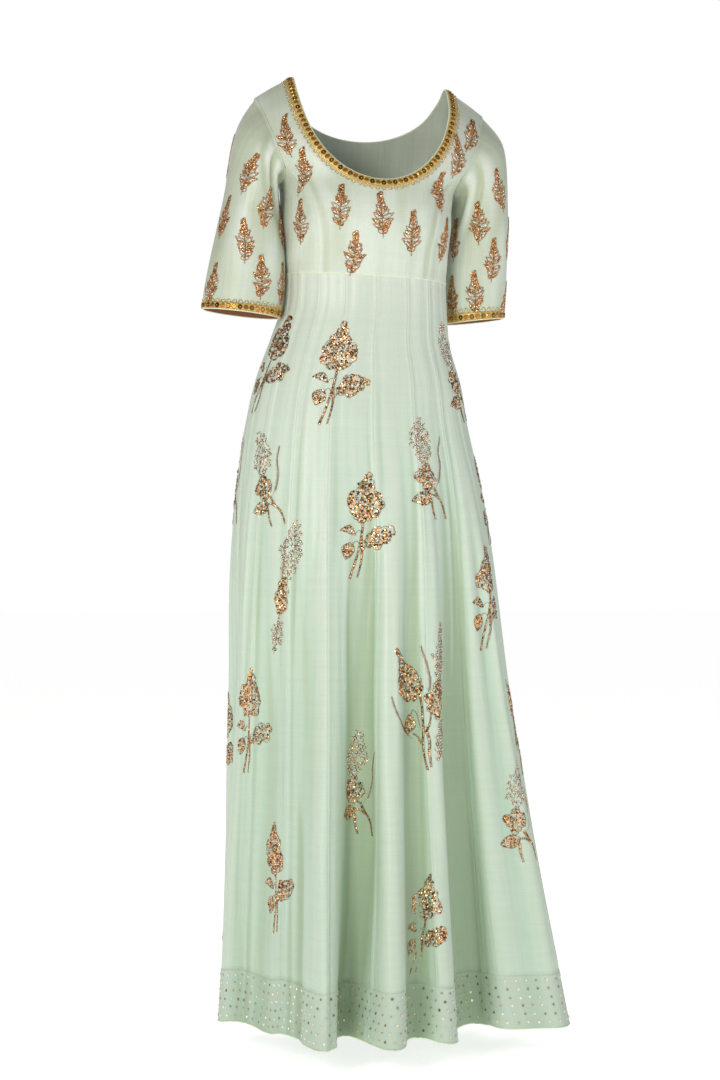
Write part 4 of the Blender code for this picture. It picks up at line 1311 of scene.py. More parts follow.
def leaf_edge(x, y, angle, length, width, bend=0.0):
    """Outline of a leaf from its foot."""
    share = np.linspace(0, 1, 13)
    half = 0.5 * width * np.sin(math.pi * share**0.85) ** 0.9
    spine = bend * length * np.sin(math.pi * share)
    right, left = np.stack([spine + half, share * length], 1), np.stack([spine - half, share * length], 1)
    return turned(np.concatenate([right, left[-2::-1]]), x, y, angle)


def inside(outline, x, y):
    """Whether points lie inside a closed outline."""
    found = np.zeros(x.shape, bool)
    for (x1, y1), (x2, y2) in zip(outline, np.roll(outline, -1, axis=0)):
        crosses = (y1 > y) != (y2 > y)
        found ^= crosses & (x < (x2 - x1) * (y - y1) / (y2 - y1 + 1e-12) + x1)
    return found


def sequins(low, high, holds, size, step, stones, rings=False):
    """Sequins in rows between two corners, kept where holds(x, y) is true, a few of them clear stones."""
    made = []
    for index, y in enumerate(np.arange(low[1] + 0.4 * step, high[1], 0.87 * step)):
        x = np.arange(low[0] + (0.3 + 0.5 * (index % 2)) * step, high[0], step)
        x = x + uniform(-0.2, 0.2, x.shape) * step
        ys = y + uniform(-0.2, 0.2, x.shape) * step
        kept = holds(x, ys)
        for px, py in zip(x[kept], ys[kept]):
            wide = size * uniform(0.85, 1.15)
            if rings:
                made.append(("sequin", (px, py, 0.0, wide, wide, 0.6, uniform(0.1, 0.5))))
                made.append(("stone", (px, py, 0.0, 0.60 * wide, 0.60 * wide, 1.2, uniform(0.2, 1))))
            elif chance.random() < stones:
                made.append(("stone", (px, py, 0.0, 0.66 * wide, 0.66 * wide, 1.9, uniform(0.5, 1))))
            else:
                made.append(("sequin", (px, py, uniform(0, 3), wide, wide, 0.8, uniform(0, 1))))
    return made


def filled(outline, size, step, stones=0.15):
    """Sequins packed inside an outline."""
    outline = np.asarray(outline, float)
    return sequins(outline.min(0), outline.max(0), lambda x, y: inside(outline, x, y), size, step, stones)


def leaf(x, y, angle, length, width, bend=0.0, size=3.0):
    """A filled leaf with a wire edge."""
    edge = leaf_edge(x, y, angle, length, width, bend)
    return filled(edge, size, 0.92 * size) + wire_row(edge, 1.0, 0.15)


print("a leaf's edge has", len(leaf_edge(0, 0, 0, 20, 8)), "points")


# %% Blossom heads and fronds
def florets(x, y, angle, length, width, shape, tip=2.4):
    """Round florets (x, y, radius) of a blossom head; shape lists its half-width from foot to tip."""
    made = []
    for place in np.arange(0.0, length + 0.1, FLORET_STEP):
        share = place / length
        half = 0.5 * width * np.interp(share, np.linspace(0, 1, len(shape)), shape)
        radius = max(tip, 0.24 * half + 2.4)
        for way in (-1, 0, 1):
            if way and half <= radius:
                continue
            off = way * (half - 0.9 * radius) * uniform(0.72, 1.3) + uniform(-1.4, 1.4)
            size = radius * uniform(0.75, 1.15)
            made.append((off, place + 3.0 * (way != 0) + uniform(-2.2, 2.2), size))
    made = np.array(made)
    made[:, :2] = turned(made[:, :2], x, y, angle)
    return made


BROAD = (0.55, 0.92, 1.0, 0.90, 0.76, 0.60, 0.44, 0.30, 0.18, 0.10)
ROUND, SLIM = (0.5, 0.95, 1.0, 0.75, 0.4), (0.3, 0.8, 1.0, 0.85, 0.6, 0.3)


def head(x, y, angle, length, width, shape=BROAD, size=3.7, step=3.3, stones=0.17, rings=False):
    """A blossom head of packed sequins, or of ringed beads with gaps between."""
    middles = florets(x, y, angle, length, width, shape)

    def gaps(px, py):
        """How far points are from each floret's middle."""
        return np.hypot(px[:, None] - middles[:, 0], py[:, None] - middles[:, 1])

    def holds(px, py):
        """Whether points lie in any floret."""
        return (gaps(px, py) < middles[:, 2]).any(axis=1)

    low, high = (middles[:, :2] - middles[:, 2:]).min(0), (middles[:, :2] + middles[:, 2:]).max(0)
    made = sequins(low, high, holds, size, step, stones, rings)
    if rings:
        return made
    for middle_x, middle_y, radius in middles:
        turn = np.arange(0, 2 * math.pi, 2.0 / radius)
        x_edge, y_edge = middle_x + radius * np.cos(turn), middle_y + radius * np.sin(turn)
        lone = (gaps(x_edge, y_edge) > 0.93 * middles[:, 2]).all(axis=1)
        for px, py, a in zip(x_edge[lone], y_edge[lone], turn[lone]):
            made.append(("wire", (px, py, a + math.pi / 2, 2.4, 1.0, 0.9, uniform(0.05, 0.5))))
    return made


def ringed_spike(x, y, angle, length, width, step=4.7):
    """A slim head of ringed beads."""
    return head(x, y, angle, length, width, SLIM, 4.2, step, 0.0, True)


def tendril(points, width=0.9):
    """A thin curved wire."""
    return wire_row(curve(points), width, 0.3)


def feather(points):
    """A curved frond: a fine stem with short barbs close together on both sides."""
    path = curve(points, 40)
    length = run_length(path)
    made = wire_row(path, 0.7, 0.7)
    for place in np.arange(0.10 * length[-1], length[-1], BARB_STEP):
        x, y = point_at(path, length, place)
        ahead_x, ahead_y = point_at(path, length, place + 0.5) - point_at(path, length, place - 0.5)
        along = math.atan2(ahead_y, ahead_x)
        reach = BARB_LENGTH * (1 - 0.5 * place / length[-1]) * uniform(0.8, 1.15)
        for way in (-1, 1):
            angle = along + way * BARB_ANGLE
            middle = (x + 0.5 * reach * math.cos(angle), y + 0.5 * reach * math.sin(angle))
            kind, tone = "wire" if way < 0 else "stone", uniform(0.0, 1.0)
            made.append((kind, (*middle, angle, reach, 0.8, 0.6, tone)))
    return made


print("a blossom head has", len(florets(0, 0, 0, 60, 40, BROAD)), "florets")


# %% The sprig of the bodice, 70 by 34 mm
# foot height, length, width and angle of each pair of leaves
SPRIG_LEAVES = (
    (-28.5, 9.0, 5.2, 30),
    (-23.0, 12.0, 5.6, 46),
    (-17.5, 14.5, 5.8, 60),
    (-12.0, 16.5, 6.0, 66),
    (-6.0, 16.5, 6.0, 60),
    (-0.5, 14.5, 5.6, 54),
    (4.5, 12.5, 5.4, 46),
    (9.0, 10.5, 5.2, 40),
    (13.0, 8.5, 4.8, 32),
)
SPINE_WIRE, LEAF_WIRE, TIP_WIRE = 1.8, 1.7, 1.3
FULL_LEAVES, LEAF_BEND = 0.45, 0.06  # share of the leaves that are filled, and how far a leaf bends


def leafy_sprig():
    """Pairs of looped leaves on a short stem, widest below its middle, and a tip of small full leaves."""
    bow = uniform(-2.5, 2.5)
    spine = curve([(0.4 * bow, -35), (0.0, -24), (-0.5 * bow, -8), (0.0, 10), (bow, 31)])
    made = wire_row(spine, SPINE_WIRE, 0.7)
    for foot, length, width, angle in SPRIG_LEAVES:
        for way in (-1, 1):
            height = foot + uniform(-1.6, 1.6)
            x = np.interp(height, spine[:, 1], spine[:, 0]) + 0.6 * way
            turn = way * (angle + uniform(-13, 13))
            size = length * uniform(0.80, 1.16)
            bend = LEAF_BEND * way
            made += wire_row(leaf_edge(x, height, turn, size, width, bend), LEAF_WIRE, 0.9)
            if chance.random() < FULL_LEAVES:
                made += filled(leaf_edge(x, height, turn, 0.92 * size, 0.86 * width, bend), 2.7, 2.3, 0.08)
            else:
                middle = turned(np.array([[bend * size, 0.55 * size]]), x, height, turn)[0]
                lying = math.radians(90 - turn)
                made.append(("stone", (*middle, lying, 0.46 * size, 0.40 * width, 1.6, 0.9)))
    for index, height in enumerate(np.arange(15.0, 31.0, 2.6)):
        way = -1 if index % 2 else 1
        x = np.interp(height, spine[:, 1], spine[:, 0])
        edge = leaf_edge(x, height, way * uniform(18, 42), 9.5 - 0.10 * height, 5.6)
        made += filled(edge, 2.6, 2.1, 0.06) + wire_row(edge, TIP_WIRE, 0.6)
    return made


# %% The sprays of the skirt
def blossom_spray():
    """A full blossom head over a side flower, with two leaves on the other side and a forked stem."""
    made = head(1, 19, 5 + uniform(-6, 6), 66, 46)
    made += head(7, -16, 60, 36, 28, ROUND)
    made += leaf(-9, -4, -74, 22, 11, 0.24)
    made += leaf(-14, -15, -158, 25, 18, 0.04)
    made += stem([(2, 22), (1, 4), (-3, -20), (-9, -42), (-17, -66)], 3.2, 3.6)
    made += stem([(-1, -6), (0, -24), (-1, -42), (-6, -64)], 3.8, 2.2)
    made += stem([(-1, -30), (3, -22), (9, -15)], 2.6, 2.0)
    made += tendril([(0, -3), (-3, 2), (-7, 0), (-9, -5)])
    made += tendril([(-3, -18), (-6, -13), (-10, -14), (-12, -17)])
    return made


def spike_spray():
    """A tall spike of ringed beads over a round flower, a feathery frond, a leaf and three stems."""
    made = ringed_spike(-3, 14, 3 + uniform(-5, 5), 64, 32)
    made += head(-2, -18, 0, 28, 29, ROUND)
    made += leaf(4, -27, -108, 30, 19, -0.06)
    made += feather([(12, -18), (19, -4), (23, 16), (22, 34), (27, 56)])
    made += tendril([(-1, 20), (-2, 10), (-1, 2)], 1.0)
    made += stem([(8, -17), (15, -30), (24, -42), (30, -62)], 4.4, 2.6)
    made += stem([(-1, -30), (3, -38), (4, -48), (8, -63)], 5.0, 2.4)
    made += stem([(2, -30), (8, -28), (16, -33)], 2.4, 3.4)
    return made


def tall_spray():
    """A long ringed spike above a small flower, with a second short spike under it."""
    made = ringed_spike(3, 20, 8, 72, 34, 4.8)
    made += feather([(-3, 8), (-4, 28), (-3, 48), (-2, 74)])
    made += head(-5, -28, 8, 42, 27, ROUND)
    made += ringed_spike(-12, -76, 14, 40, 26)
    made += tendril([(3, 24), (0, 10), (-3, -2)], 1.0)
    made += tendril([(-6, -30), (-7, -44), (-14, -84)])
    return made


def garden_spray():
    """The largest spray: a slanting head, two ringed spikes, two fronds, a flower, a leaf and four stems."""
    made = head(-11, 12, -26, 72, 38)
    made += ringed_spike(24, 30, 1, 78, 34)
    made += head(19, -12, 8, 44, 34, ROUND)
    made += ringed_spike(25, -70, 14, 54, 32)
    made += leaf(-16, -38, 4, 26, 16, 0.05)
    made += feather([(6, 14), (7, 34), (2, 56), (-6, 80)])
    made += feather([(-8, -46), (-26, -30), (-42, -12), (-50, 14)])
    made += stem([(-4, 18), (1, -2), (4, -30), (5, -56), (12, -86)], 3.4, 3.2)
    made += stem([(6, -28), (12, -46), (13, -62), (16, -82)], 4.0, 2.4)
    made += stem([(8, -34), (11, -22), (12, -8)], 2.6, 2.2)
    made += stem([(3, -52), (-3, -42), (-9, -38)], 2.4, 1.8)
    made += tendril([(17, 36), (14, 20), (10, 4)], 1.0)
    made += tendril([(-13, -18), (-10, -6), (-5, -12), (0, -30)])
    return made


DESIGNS = {
    "sprig": leafy_sprig,
    "blossom": blossom_spray,
    "spike": spike_spray,
    "tall": tall_spray,
    "garden": garden_spray,
}
for label, draw in DESIGNS.items():
    print(label, "has", len(draw()), "shapes")

# %% [markdown]
# ## Laying motifs on the cloth
# A flat motif goes onto curved cloth the way a transfer does: its lengths are kept, up the cloth first and
# then across it. Every shape then takes the cloth's own direction there, and each sequin a small tilt of its
# own.


# %% Transfer
# each kind of shape in a drawing: the tree that sews it, its finish and its corners
FINISH_OF = {
    "sequin": ("cup", COPPER_SEQUIN, 6),
    "stone": ("bead", CLEAR_STONE, 6),
    "wire": ("bead", COPPER_WIRE, 4),
}
GRID_COLUMNS, GRID_ROWS = 61, 41  # a motif is measured on a grid of cloth with its origin in the middle


def place_on(cloth, at, x, y, flips, spans):
    """Places on the cloth of flat points (x, y), measured up the cloth first and then across it."""
    right, rise, _ = directions(cloth.formula, *at)
    slant = flips[0] * flips[1] * float(np.sum(right * rise))
    y = y / math.sqrt(1 - slant**2)
    x = x - slant * y
    us = at[0] + np.linspace(-spans[0], spans[0], GRID_COLUMNS)
    vs = at[1] + np.linspace(-spans[1], spans[1], GRID_ROWS)
    grid = cloth.formula(*np.meshgrid(us, vs, indexing="ij"))
    up, across = run_length(grid[GRID_COLUMNS // 2]), run_length(grid)
    v = np.interp(flips[1] * y + up[GRID_ROWS // 2], up, vs)
    row = np.clip((v - vs[0]) / (vs[1] - vs[0]), 0, GRID_ROWS - 1.001)
    u = np.empty(len(x))
    for i in range(len(x)):
        k, part = int(row[i]), row[i] % 1
        wanted = flips[0] * x[i] + across[GRID_COLUMNS // 2]
        below, above = (np.interp(wanted[j], across[:, j], us) for j in (k, k + 1))
        u[i] = below * (1 - part) + above * part
    return u, v


def transfer(cloth, at, drawing, flips=(1, 1), spans=(1.0, 0.1), turn=0.0, scale=1.0, wide=1.0):
    """Spots on the cloth for a flat drawing whose origin lies at a place on it."""
    kinds = np.array([kind for kind, _ in drawing])
    rows = np.array([row for _, row in drawing])
    rows[:, :2] *= 0.001 * scale * np.array([wide, 1.0])
    rows[:, 3:6] *= 0.001 * scale * math.sqrt(wide)
    c, s = math.cos(math.radians(turn)), math.sin(math.radians(turn))
    x, y = rows[:, 0] * c + rows[:, 1] * s, rows[:, 1] * c - rows[:, 0] * s
    u, v = place_on(cloth, at, x, y, flips, spans)
    right, rise, out = directions(cloth.formula, u, v)
    right, rise, out = flips[0] * right, flips[1] * rise, cloth.outward * out
    rise = unit(rise - np.sum(rise * right, axis=1, keepdims=True) * right)
    angle = (rows[:, 2] - math.radians(turn))[:, None]
    along = np.cos(angle) * right + np.sin(angle) * rise
    leaned = unit(out + chance.normal(0.0, SEQUIN_LEAN, (len(x), 3)) * (kinds == "sequin")[:, None])
    found = (cloth.finished(u, v, 0.5 * rows[:, 5]), leaned, along, rows[:, 3:6], rows[:, 6])
    return {kind: [values[kinds == kind] for values in found] for kind in FINISH_OF}


# %% Where the motifs lie
# place in kalis, height, design, turn in degrees, scale; the front as worn, then the sides and the back
SKIRT_MOTIFS = (
    (-0.98, -0.462, "blossom", 4, 1.08),
    (-0.27, -0.69, "blossom", 0, 1.08),
    (-2.3, -1.226, "blossom", 0, 1.1),
    (0.86, -1.29, "blossom", 0, 1.0),
    (-3.05, -0.99, "blossom", 0, 1.08),
    (1.22, -0.604, "spike", 0, 1.08),
    (-2.86, -0.62, "spike", -8, 1.02),
    (-0.3, -1.078, "spike", 2, 1.06),
    (2.66, -1.13, "spike", 0, 1.06),
    (-2.12, -0.782, "tall", 4, 1.12),
    (0.92, -0.952, "garden", 0, 1.1),
    (3.1, -0.452, "spike", -6, 1.08),
    (2.72, -0.8, "blossom", 0, 1.08),
    (4.1, -0.64, "blossom", 0, 1.08),
    (3.95, -0.985, "garden", 0, 1.05),
    (4.85, -1.24, "blossom", 0, 1.1),
    (5.4, -0.48, "spike", 4, 1.08),
    (5.75, -0.82, "tall", 0, 1.08),
    (5.95, -1.09, "spike", -4, 1.08),
    (6.7, -0.61, "blossom", 2, 1.08),
    (7.1, -0.94, "blossom", 0, 1.1),
    (7.35, -1.24, "spike", 0, 1.08),
    (8.05, -0.445, "spike", 0, 1.08),
    (8.3, -0.745, "garden", 0, 1.06),
    (8.65, -1.09, "blossom", 0, 1.1),
    (9.45, -0.56, "blossom", -4, 1.08),
    (9.6, -0.885, "spike", 2, 1.08),
    (9.9, -1.245, "blossom", 0, 1.1),
    (10.7, -0.7, "spike", 4, 1.08),
    (11.4, -1.02, "garden", 0, 1.06),
    (11.55, -0.47, "blossom", 0, 1.08),
    (12.1, -0.8, "tall", -4, 1.08),
    (12.3, -1.235, "spike", 0, 1.08),
    (13.0, -0.61, "spike", 0, 1.08),
    (12.95, -1.03, "blossom", 0, 1.1),
    (13.9, -1.26, "spike", 0, 1.06),
    (14.25, -0.445, "blossom", 3, 1.06),
)
# x, height; False is the front and True the back
BODICE_MOTIFS = {
    False: (
        (-0.147, -0.093), (-0.119, -0.149), (-0.068, -0.207), (-0.005, -0.218), (-0.044, -0.276),
        (0.044, -0.245), (-0.121, -0.227), (0.103, -0.251), (0.148, -0.07), (0.122, -0.124),
        (0.088, -0.178),
    ),
    True: (
        (-0.14, -0.08), (0.14, -0.08), (-0.094, -0.126), (0.0, -0.124), (0.094, -0.128),
        (-0.046, -0.168), (0.048, -0.166), (-0.092, -0.214), (0.0, -0.222), (0.092, -0.212),
        (-0.047, -0.266), (0.046, -0.264),
    ),
}
# place round the arm, ring; the same on both sleeves
SLEEVE_MOTIFS = (
    (0.178, 1.57), (0.3, 2.23), (0.203, 3.47), (0.292, 4.45), (0.061, 2.82), (0.072, 4.75),
    (0.433, 2.9), (0.96, 1.4), (0.9, 3.6), (0.82, 2.1), (0.76, 4.4), (0.68, 2.9),
    (0.6, 4.5), (0.42, 4.6), (0.55, 3.2),
)
WIDENED, REST_WIDENED = {"garden": 1.25, "spike": 1.15}, 1.05  # sprays are sewn wider than they are drawn
LEFT_FROM, BACK_FROM = 3.6, 9  # places in kalis where the left side and the back begin
CENTRE_SHIFT, SPRAY_DROP = 0.006, 0.008  # the bodice's middle lies to one side; sprays hang a little lower
SKIRT_SPANS, BODICE_SPANS, SLEEVE_SPANS = (1.6, 0.13), (0.5, 0.16), (0.14, 1.1)

# %% Sewing the motifs on
groups = {"skirt_front": [], "skirt_left": [], "skirt_back": [], "bodice": [], "sleeve": []}
for place, height, design, turn, scale in SKIRT_MOTIFS:
    part = "front" if place < LEFT_FROM else "left" if place < BACK_FROM else "back"
    size = (scale, WIDENED.get(design, REST_WIDENED))
    spots = transfer(SKIRT, (place, height - SPRAY_DROP), DESIGNS[design](), (1, 1), SKIRT_SPANS, turn, *size)
    groups[f"skirt_{part}"].append(spots)
for back, motifs in BODICE_MOTIFS.items():
    way = -1 if back else 1
    for x, height in motifs:
        station = float(station_at(height + LEAN * x, back))
        at, turn = (float(turn_at(x + CENTRE_SHIFT, station)), station), uniform(-8, 8)
        groups["bodice"].append(transfer(BODICE, at, leafy_sprig(), (way, way), BODICE_SPANS, turn))
for side, sign in SIDE_SIGN.items():
    for at in SLEEVE_MOTIFS:
        drawing, turn = leafy_sprig(), uniform(-6, 6)
        spots = transfer(SLEEVES[side], at, drawing, (-sign, -1), SLEEVE_SPANS, turn, 0.98)
        groups["sleeve"].append(spots)
for label, motifs in groups.items():
    for kind, (shape, finish, corners) in FINISH_OF.items():
        spots = [motif[kind] for motif in motifs if len(motif[kind][0])]
        sew(f"{label}_{kind}s", spots, shape, finish, corners)

# %% [markdown]
# ## Lace at the neck and the cuffs
# The lace is a pale gold braid 12 mm wide with darker gilded discs side by side along it. A bead sits on
# each disc, a row of small beads runs along each side, and loops of beads make the scalloped lower edge. A
# cord of pale satin pipes the neck's edge and the cuff's lower edge. The braid lies on the cloth, so its
# points are the cloth's own, raised a little.

# %% Lace paths
LACE_WIDTH, DISC_STEP, DISC_WIDTH, DISC_HEIGHT = 0.012, 0.0088, 0.0080, 0.0009
LACE_SHARES = np.array((0.0, 0.08, 0.5, 0.92, 1.0))  # places across the braid
NECK_BRAID_RISE = np.array((0.0004, 0.0009, 0.0011, 0.0009, 0.0004))
CUFF_BRAID_RISE = np.array((0.0004, 0.0008, 0.0010, 0.0008, 0.0004))
DISC_PATH, DISC_MIDDLE = 0.0052, 0.0054  # distances from the edge where the discs are counted and sewn
BEAD_ON_DISC, LOOP_BEAD = (0.0024, 0.0024, 0.0012), (0.0024, 0.0019, 0.0016)
SIDE_BEADS = ((0.0008, 0.0015), (0.0108, 0.0016))  # distance from the edge, width of a bead
LOOP_TURNS = np.radians((-84, -56, -28, 0, 28, 56, 84))  # the beads of a loop
LOOP_WIDTH, LOOP_START, LOOP_DEPTH = 0.35, 0.0116, 0.0046


def neck_path(back):
    """Angles along the neck edge and, for any angle and distance from the edge, the bodice's place."""
    depth = NECK_DEPTH[back]
    fine = np.linspace(-math.pi / 2 + 0.0002, math.pi / 2 - 0.0002, 1601)
    edge_x = NECK_HALF_WIDTH * np.sign(fine) * np.sqrt(1.0 - np.cos(fine) ** NECK_POWER)
    edge_z = -depth * np.cos(fine)
    slope_x, slope_z = np.gradient(edge_x, fine), np.gradient(edge_z, fine)
    speed = np.hypot(slope_x, slope_z)

    def place(angle, distance):
        """The bodice's place at a distance from the neck edge."""
        x = np.interp(angle, fine, edge_x) + distance * np.interp(angle, fine, slope_z / speed)
        z = np.interp(angle, fine, edge_z) - distance * np.interp(angle, fine, slope_x / speed)
        station = station_at(np.minimum(z, 0.0), back)
        station = np.maximum(station, 1 + 5 * TINY) if back else np.minimum(station, 1 - 5 * TINY)
        return turn_at(x, station), station

    return fine, place


def spots_on(cloth, u, v, lift, size, tone):
    """Spots at places u, v in a row, each turned along the row; size is length, width and height."""
    points = cloth.finished(u, v, lift)
    along = np.gradient(points, axis=0)
    sizes = np.broadcast_to(np.asarray(size, float), points.shape)
    return points, outwards(cloth, u, v), along, sizes, np.broadcast_to(tone, len(points)).astype(float)


def evenly(fine, points, step):
    """Places along a fine path that are a step apart, and their number."""
    length = run_length(points)
    count = int(length[-1] / step)
    return np.interp((np.arange(count) + 0.5) / count * length[-1], length, fine), count


def lace_spots(place, fine, cloth, lift):
    """Discs, the beads on them and beside them, and the scalloped edge, along one path."""
    u, v = place(fine, DISC_PATH)
    at, count = evenly(fine, cloth.formula(u, v), DISC_STEP)

    def in_row(places, distance, *look):
        """Spots at one distance from the edge."""
        return spots_on(cloth, *place(places, distance), *look)

    tones = np.where(np.arange(count) % 2 == 0, 0.25, 0.8) + uniform(-0.2, 0.2, count)
    discs = in_row(at, DISC_MIDDLE, lift, (DISC_WIDTH, DISC_WIDTH, DISC_HEIGHT), tones)
    beads = [in_row(at, DISC_MIDDLE, lift + DISC_HEIGHT, BEAD_ON_DISC, 1 - tones)]
    closer = np.interp(np.arange(0, count, 0.25), np.arange(count), at)
    for distance, size in SIDE_BEADS:
        beads.append(in_row(closer, distance, lift, (size * 1.3, size, size), 0.6))
    steps = at[:, None] + LOOP_WIDTH * np.gradient(at)[:, None] * np.sin(LOOP_TURNS)
    distances = LOOP_START + LOOP_DEPTH * np.cos(LOOP_TURNS) + 0 * steps
    u, v = place(steps.ravel(), distances.ravel())
    beads.append(spots_on(cloth, u, v, 0.0008, LOOP_BEAD, 0.75))
    return discs, beads


print("a disc every", 1000 * DISC_STEP, "mm, and loops of", len(LOOP_TURNS), "beads")


# %% Cords
CORD_SIDES = 8


def cord(name, path, radius, material, closed=False):
    """A round cord along a path of points, as a trim."""
    tangent = np.gradient(path, axis=0)
    if closed:
        tangent = np.roll(path, -1, axis=0) - np.roll(path, 1, axis=0)
    tangent = unit(tangent)
    side = unit(np.cross(tangent, (0.0, 0.0, 1.0)))
    up = np.cross(side, tangent)
    around = np.linspace(0, 2 * math.pi, CORD_SIDES + 1)[:-1][None, :, None]
    rings = path[:, None] + radius * (np.cos(around) * side[:, None] + np.sin(around) * up[:, None])
    count, rows = len(path), CORD_SIDES
    c, r = np.indices((count if closed else count - 1, rows)).reshape(2, -1)
    here, ahead, beside = c * rows, (c + 1) % count * rows, (r + 1) % rows
    faces = np.stack([here + r, here + beside, ahead + beside, ahead + r], axis=1).tolist()
    if not closed:
        faces += [list(range(rows)), list(range(count * rows - 1, (count - 1) * rows - 1, -1))]
    mesh = bpy.data.meshes.new(name)
    mesh.from_pydata(rings.reshape(-1, 3).tolist(), [], faces)
    work = bmesh.new()
    work.from_mesh(mesh)
    bmesh.ops.recalc_face_normals(work, faces=work.faces)
    work.to_mesh(mesh)
    work.free()
    layer = mesh.uv_layers.new(name="cloth")
    length = run_length(path)
    corner_vertex = np.empty(len(mesh.loops), int)
    mesh.loops.foreach_get("vertex_index", corner_vertex)
    uv = np.stack([(corner_vertex % rows) * radius, length[corner_vertex // rows]], axis=1)
    layer.data.foreach_set("uv", uv.astype(np.float32).ravel())
    mesh.materials.append(material)
    mesh.shade_smooth()
    TRIMS[name] = add_object(name, mesh)


# %% Neck lace
discs, beads = [], []
shares = LACE_SHARES * LACE_WIDTH
for back, part in ((False, "front"), (True, "back")):
    fine, place = neck_path(back)
    at, _ = evenly(fine, bodice(*place(fine, 0.0)), 0.0035)
    at = np.concatenate([[fine[0]], at, [fine[-1]]])
    grid = [place(at, share) for share in shares]
    turns, stations = np.array([g[0] for g in grid]), np.array([g[1] for g in grid])
    out = directions(bodice, turns, stations)[2]
    base = bodice_cloth(turns, stations)
    along = np.broadcast_to(run_length(base[2]), turns.shape)
    rise = NECK_BRAID_RISE[:, None, None]
    wall = (base + (0.0007 + rise) * out, base + 0.0006 * out, along, shares[:, None] + 0 * along)
    PIECES[f"neck_trim_{part}"] = cloth_piece(f"neck_braid_{part}", *wall, GOLD_BRAID)
    found = lace_spots(place, fine, BODICE, 0.0019)
    discs.append(found[0])
    beads += found[1]
    edge = bodice(*place(at, -0.0004))
    cord(f"neck_piping_{part}", edge, 0.0011, PIPING_CLOTH)
sew("neck_discs", discs, "disc", GILDED_DISC, 12, 0.72)
sew("neck_beads", beads, "bead", GOLD_BEAD, 6)


# %% Cuff lace
def cuff_path(side):
    """Rings in a metre of the cuff's depth and, for a turn and distance from the edge, the sleeve's place."""
    down = sleeve(side, np.arange(16)[:, None] / 16, np.linspace(CUFF_LACE, CUFF_EDGE, 12))
    deep = np.linalg.norm(np.diff(down, axis=1), axis=2).sum(axis=1).mean()
    print(f"cuff lace {side}: the last rings are", round(1000 * deep, 1), "mm deep")
    rings_per_m = (CUFF_EDGE - CUFF_LACE) / deep

    def place(turn, distance):
        """The sleeve's place at a distance from the cuff's edge."""
        return turn, CUFF_EDGE - TINY - rings_per_m * (distance + 0.0002)

    return rings_per_m, place


AROUND_BRAID, AROUND_PIPING = 112, 160
piping_turns = np.arange(AROUND_PIPING) / AROUND_PIPING
for side in SIDE_SIGN:
    rings_per_m, place = cuff_path(side)
    rings = CUFF_EDGE - rings_per_m * LACE_SHARES * LACE_WIDTH
    turns, rings = np.meshgrid(np.arange(AROUND_BRAID) / AROUND_BRAID, rings, indexing="ij")
    outer = sleeve_cloth(side, turns, rings)
    out = outwards(SLEEVES[side], turns, rings)
    rise = CUFF_BRAID_RISE[None, :, None]
    girth = run_length(np.concatenate([outer[:, 2], outer[:1, 2]]))
    across = np.broadcast_to(girth[:, None], (len(girth), len(LACE_SHARES)))
    up = np.broadcast_to((0, 0.001, 0.006, 0.011, 0.012), across.shape)
    wall = (outer + rise * out, outer + 0.0001 * out, across, up)
    PIECES[f"cuff_trim_{side}"] = cloth_piece(f"cuff_braid_{side}", *wall, GOLD_BRAID, True)
    found = lace_spots(place, np.linspace(0.0, 1.0, 801), SLEEVES[side], 0.0013)
    sew(f"cuff_discs_{side}", [found[0]], "disc", GILDED_DISC, 12, 0.72)
    sew(f"cuff_beads_{side}", found[1], "bead", GOLD_BEAD, 6)
    out = outwards(SLEEVES[side], piping_turns, CUFF_EDGE - TINY)
    cord_path = sleeve(side, piping_turns, CUFF_EDGE) - 0.0004 * out
    cord(f"cuff_piping_{side}", cord_path, 0.0010, PIPING_CLOTH, True)

# %% [markdown]
# ## Dots and rolled edge of the band
# Foil dots about 4 mm wide are pressed onto the band in staggered rows, and its lower edge is rolled.

# %% Band dots and hem roll
DOT_STEP, DOT_ROW_STEP, DOT_HEIGHT = 0.0172, 0.0128, 0.0005
fine = np.linspace(0.0, KALIS, 4001)
dot_rows = []
for index, height in enumerate(np.arange(BAND_Z - 0.0085, HEM_Z + 0.006, -DOT_ROW_STEP)):
    ring = run_length(skirt(fine, height))
    count = int(ring[-1] / DOT_STEP)
    at = (np.arange(count) + 0.5 * (index % 2) + uniform(-0.07, 0.07, count)) / count * ring[-1]
    places = np.interp(at % ring[-1], ring, fine)
    heights = height + uniform(-0.0008, 0.0008, count)
    right, _, out = directions(skirt, places, heights)
    wide = uniform(0.0034, 0.0045, count)
    sizes = np.stack([wide, wide, np.full(count, DOT_HEIGHT)], axis=1)
    dull = chance.random(count) < 0.5
    tones = np.where(dull, uniform(0.0, 0.35, count), uniform(0.75, 1.0, count))
    dot_rows.append((skirt_cloth(places, heights, 0.0003), out, right, sizes, tones))
sew("band_dots", dot_rows, "disc", PRESSED_FOIL, 9, 0.85)
ring = np.linspace(0, KALIS, 900)[:-1]
low = skirt_cloth(ring, HEM_Z) - 0.0005 * directions(skirt, ring, HEM_Z)[2]
low[:, 2] += 0.0004
waist = skirt_cloth(ring, WAIST_Z - 0.0003, 0.0001)
cord("waist_piping", waist, 0.0009, PIPING_CLOTH, True)
cord("hem_roll", low, 0.0012, PIPING_CLOTH, True)
print(len(TRIMS), "trims")

# %% [markdown]
# ## The dressed gown in place of the plain one
# Every finished cloth stands for its plain node, which stays for collision, and rides on the gown's one
# body.

# %% Hand the pieces over
for item in TRIMS.values():
    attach(item, "root")
for cad_node, item in PIECES.items():
    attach(item, "root")
    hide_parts(cad_node)
print(len(PIECES), "cloth pieces stand for", len(PIECES), "plain nodes")

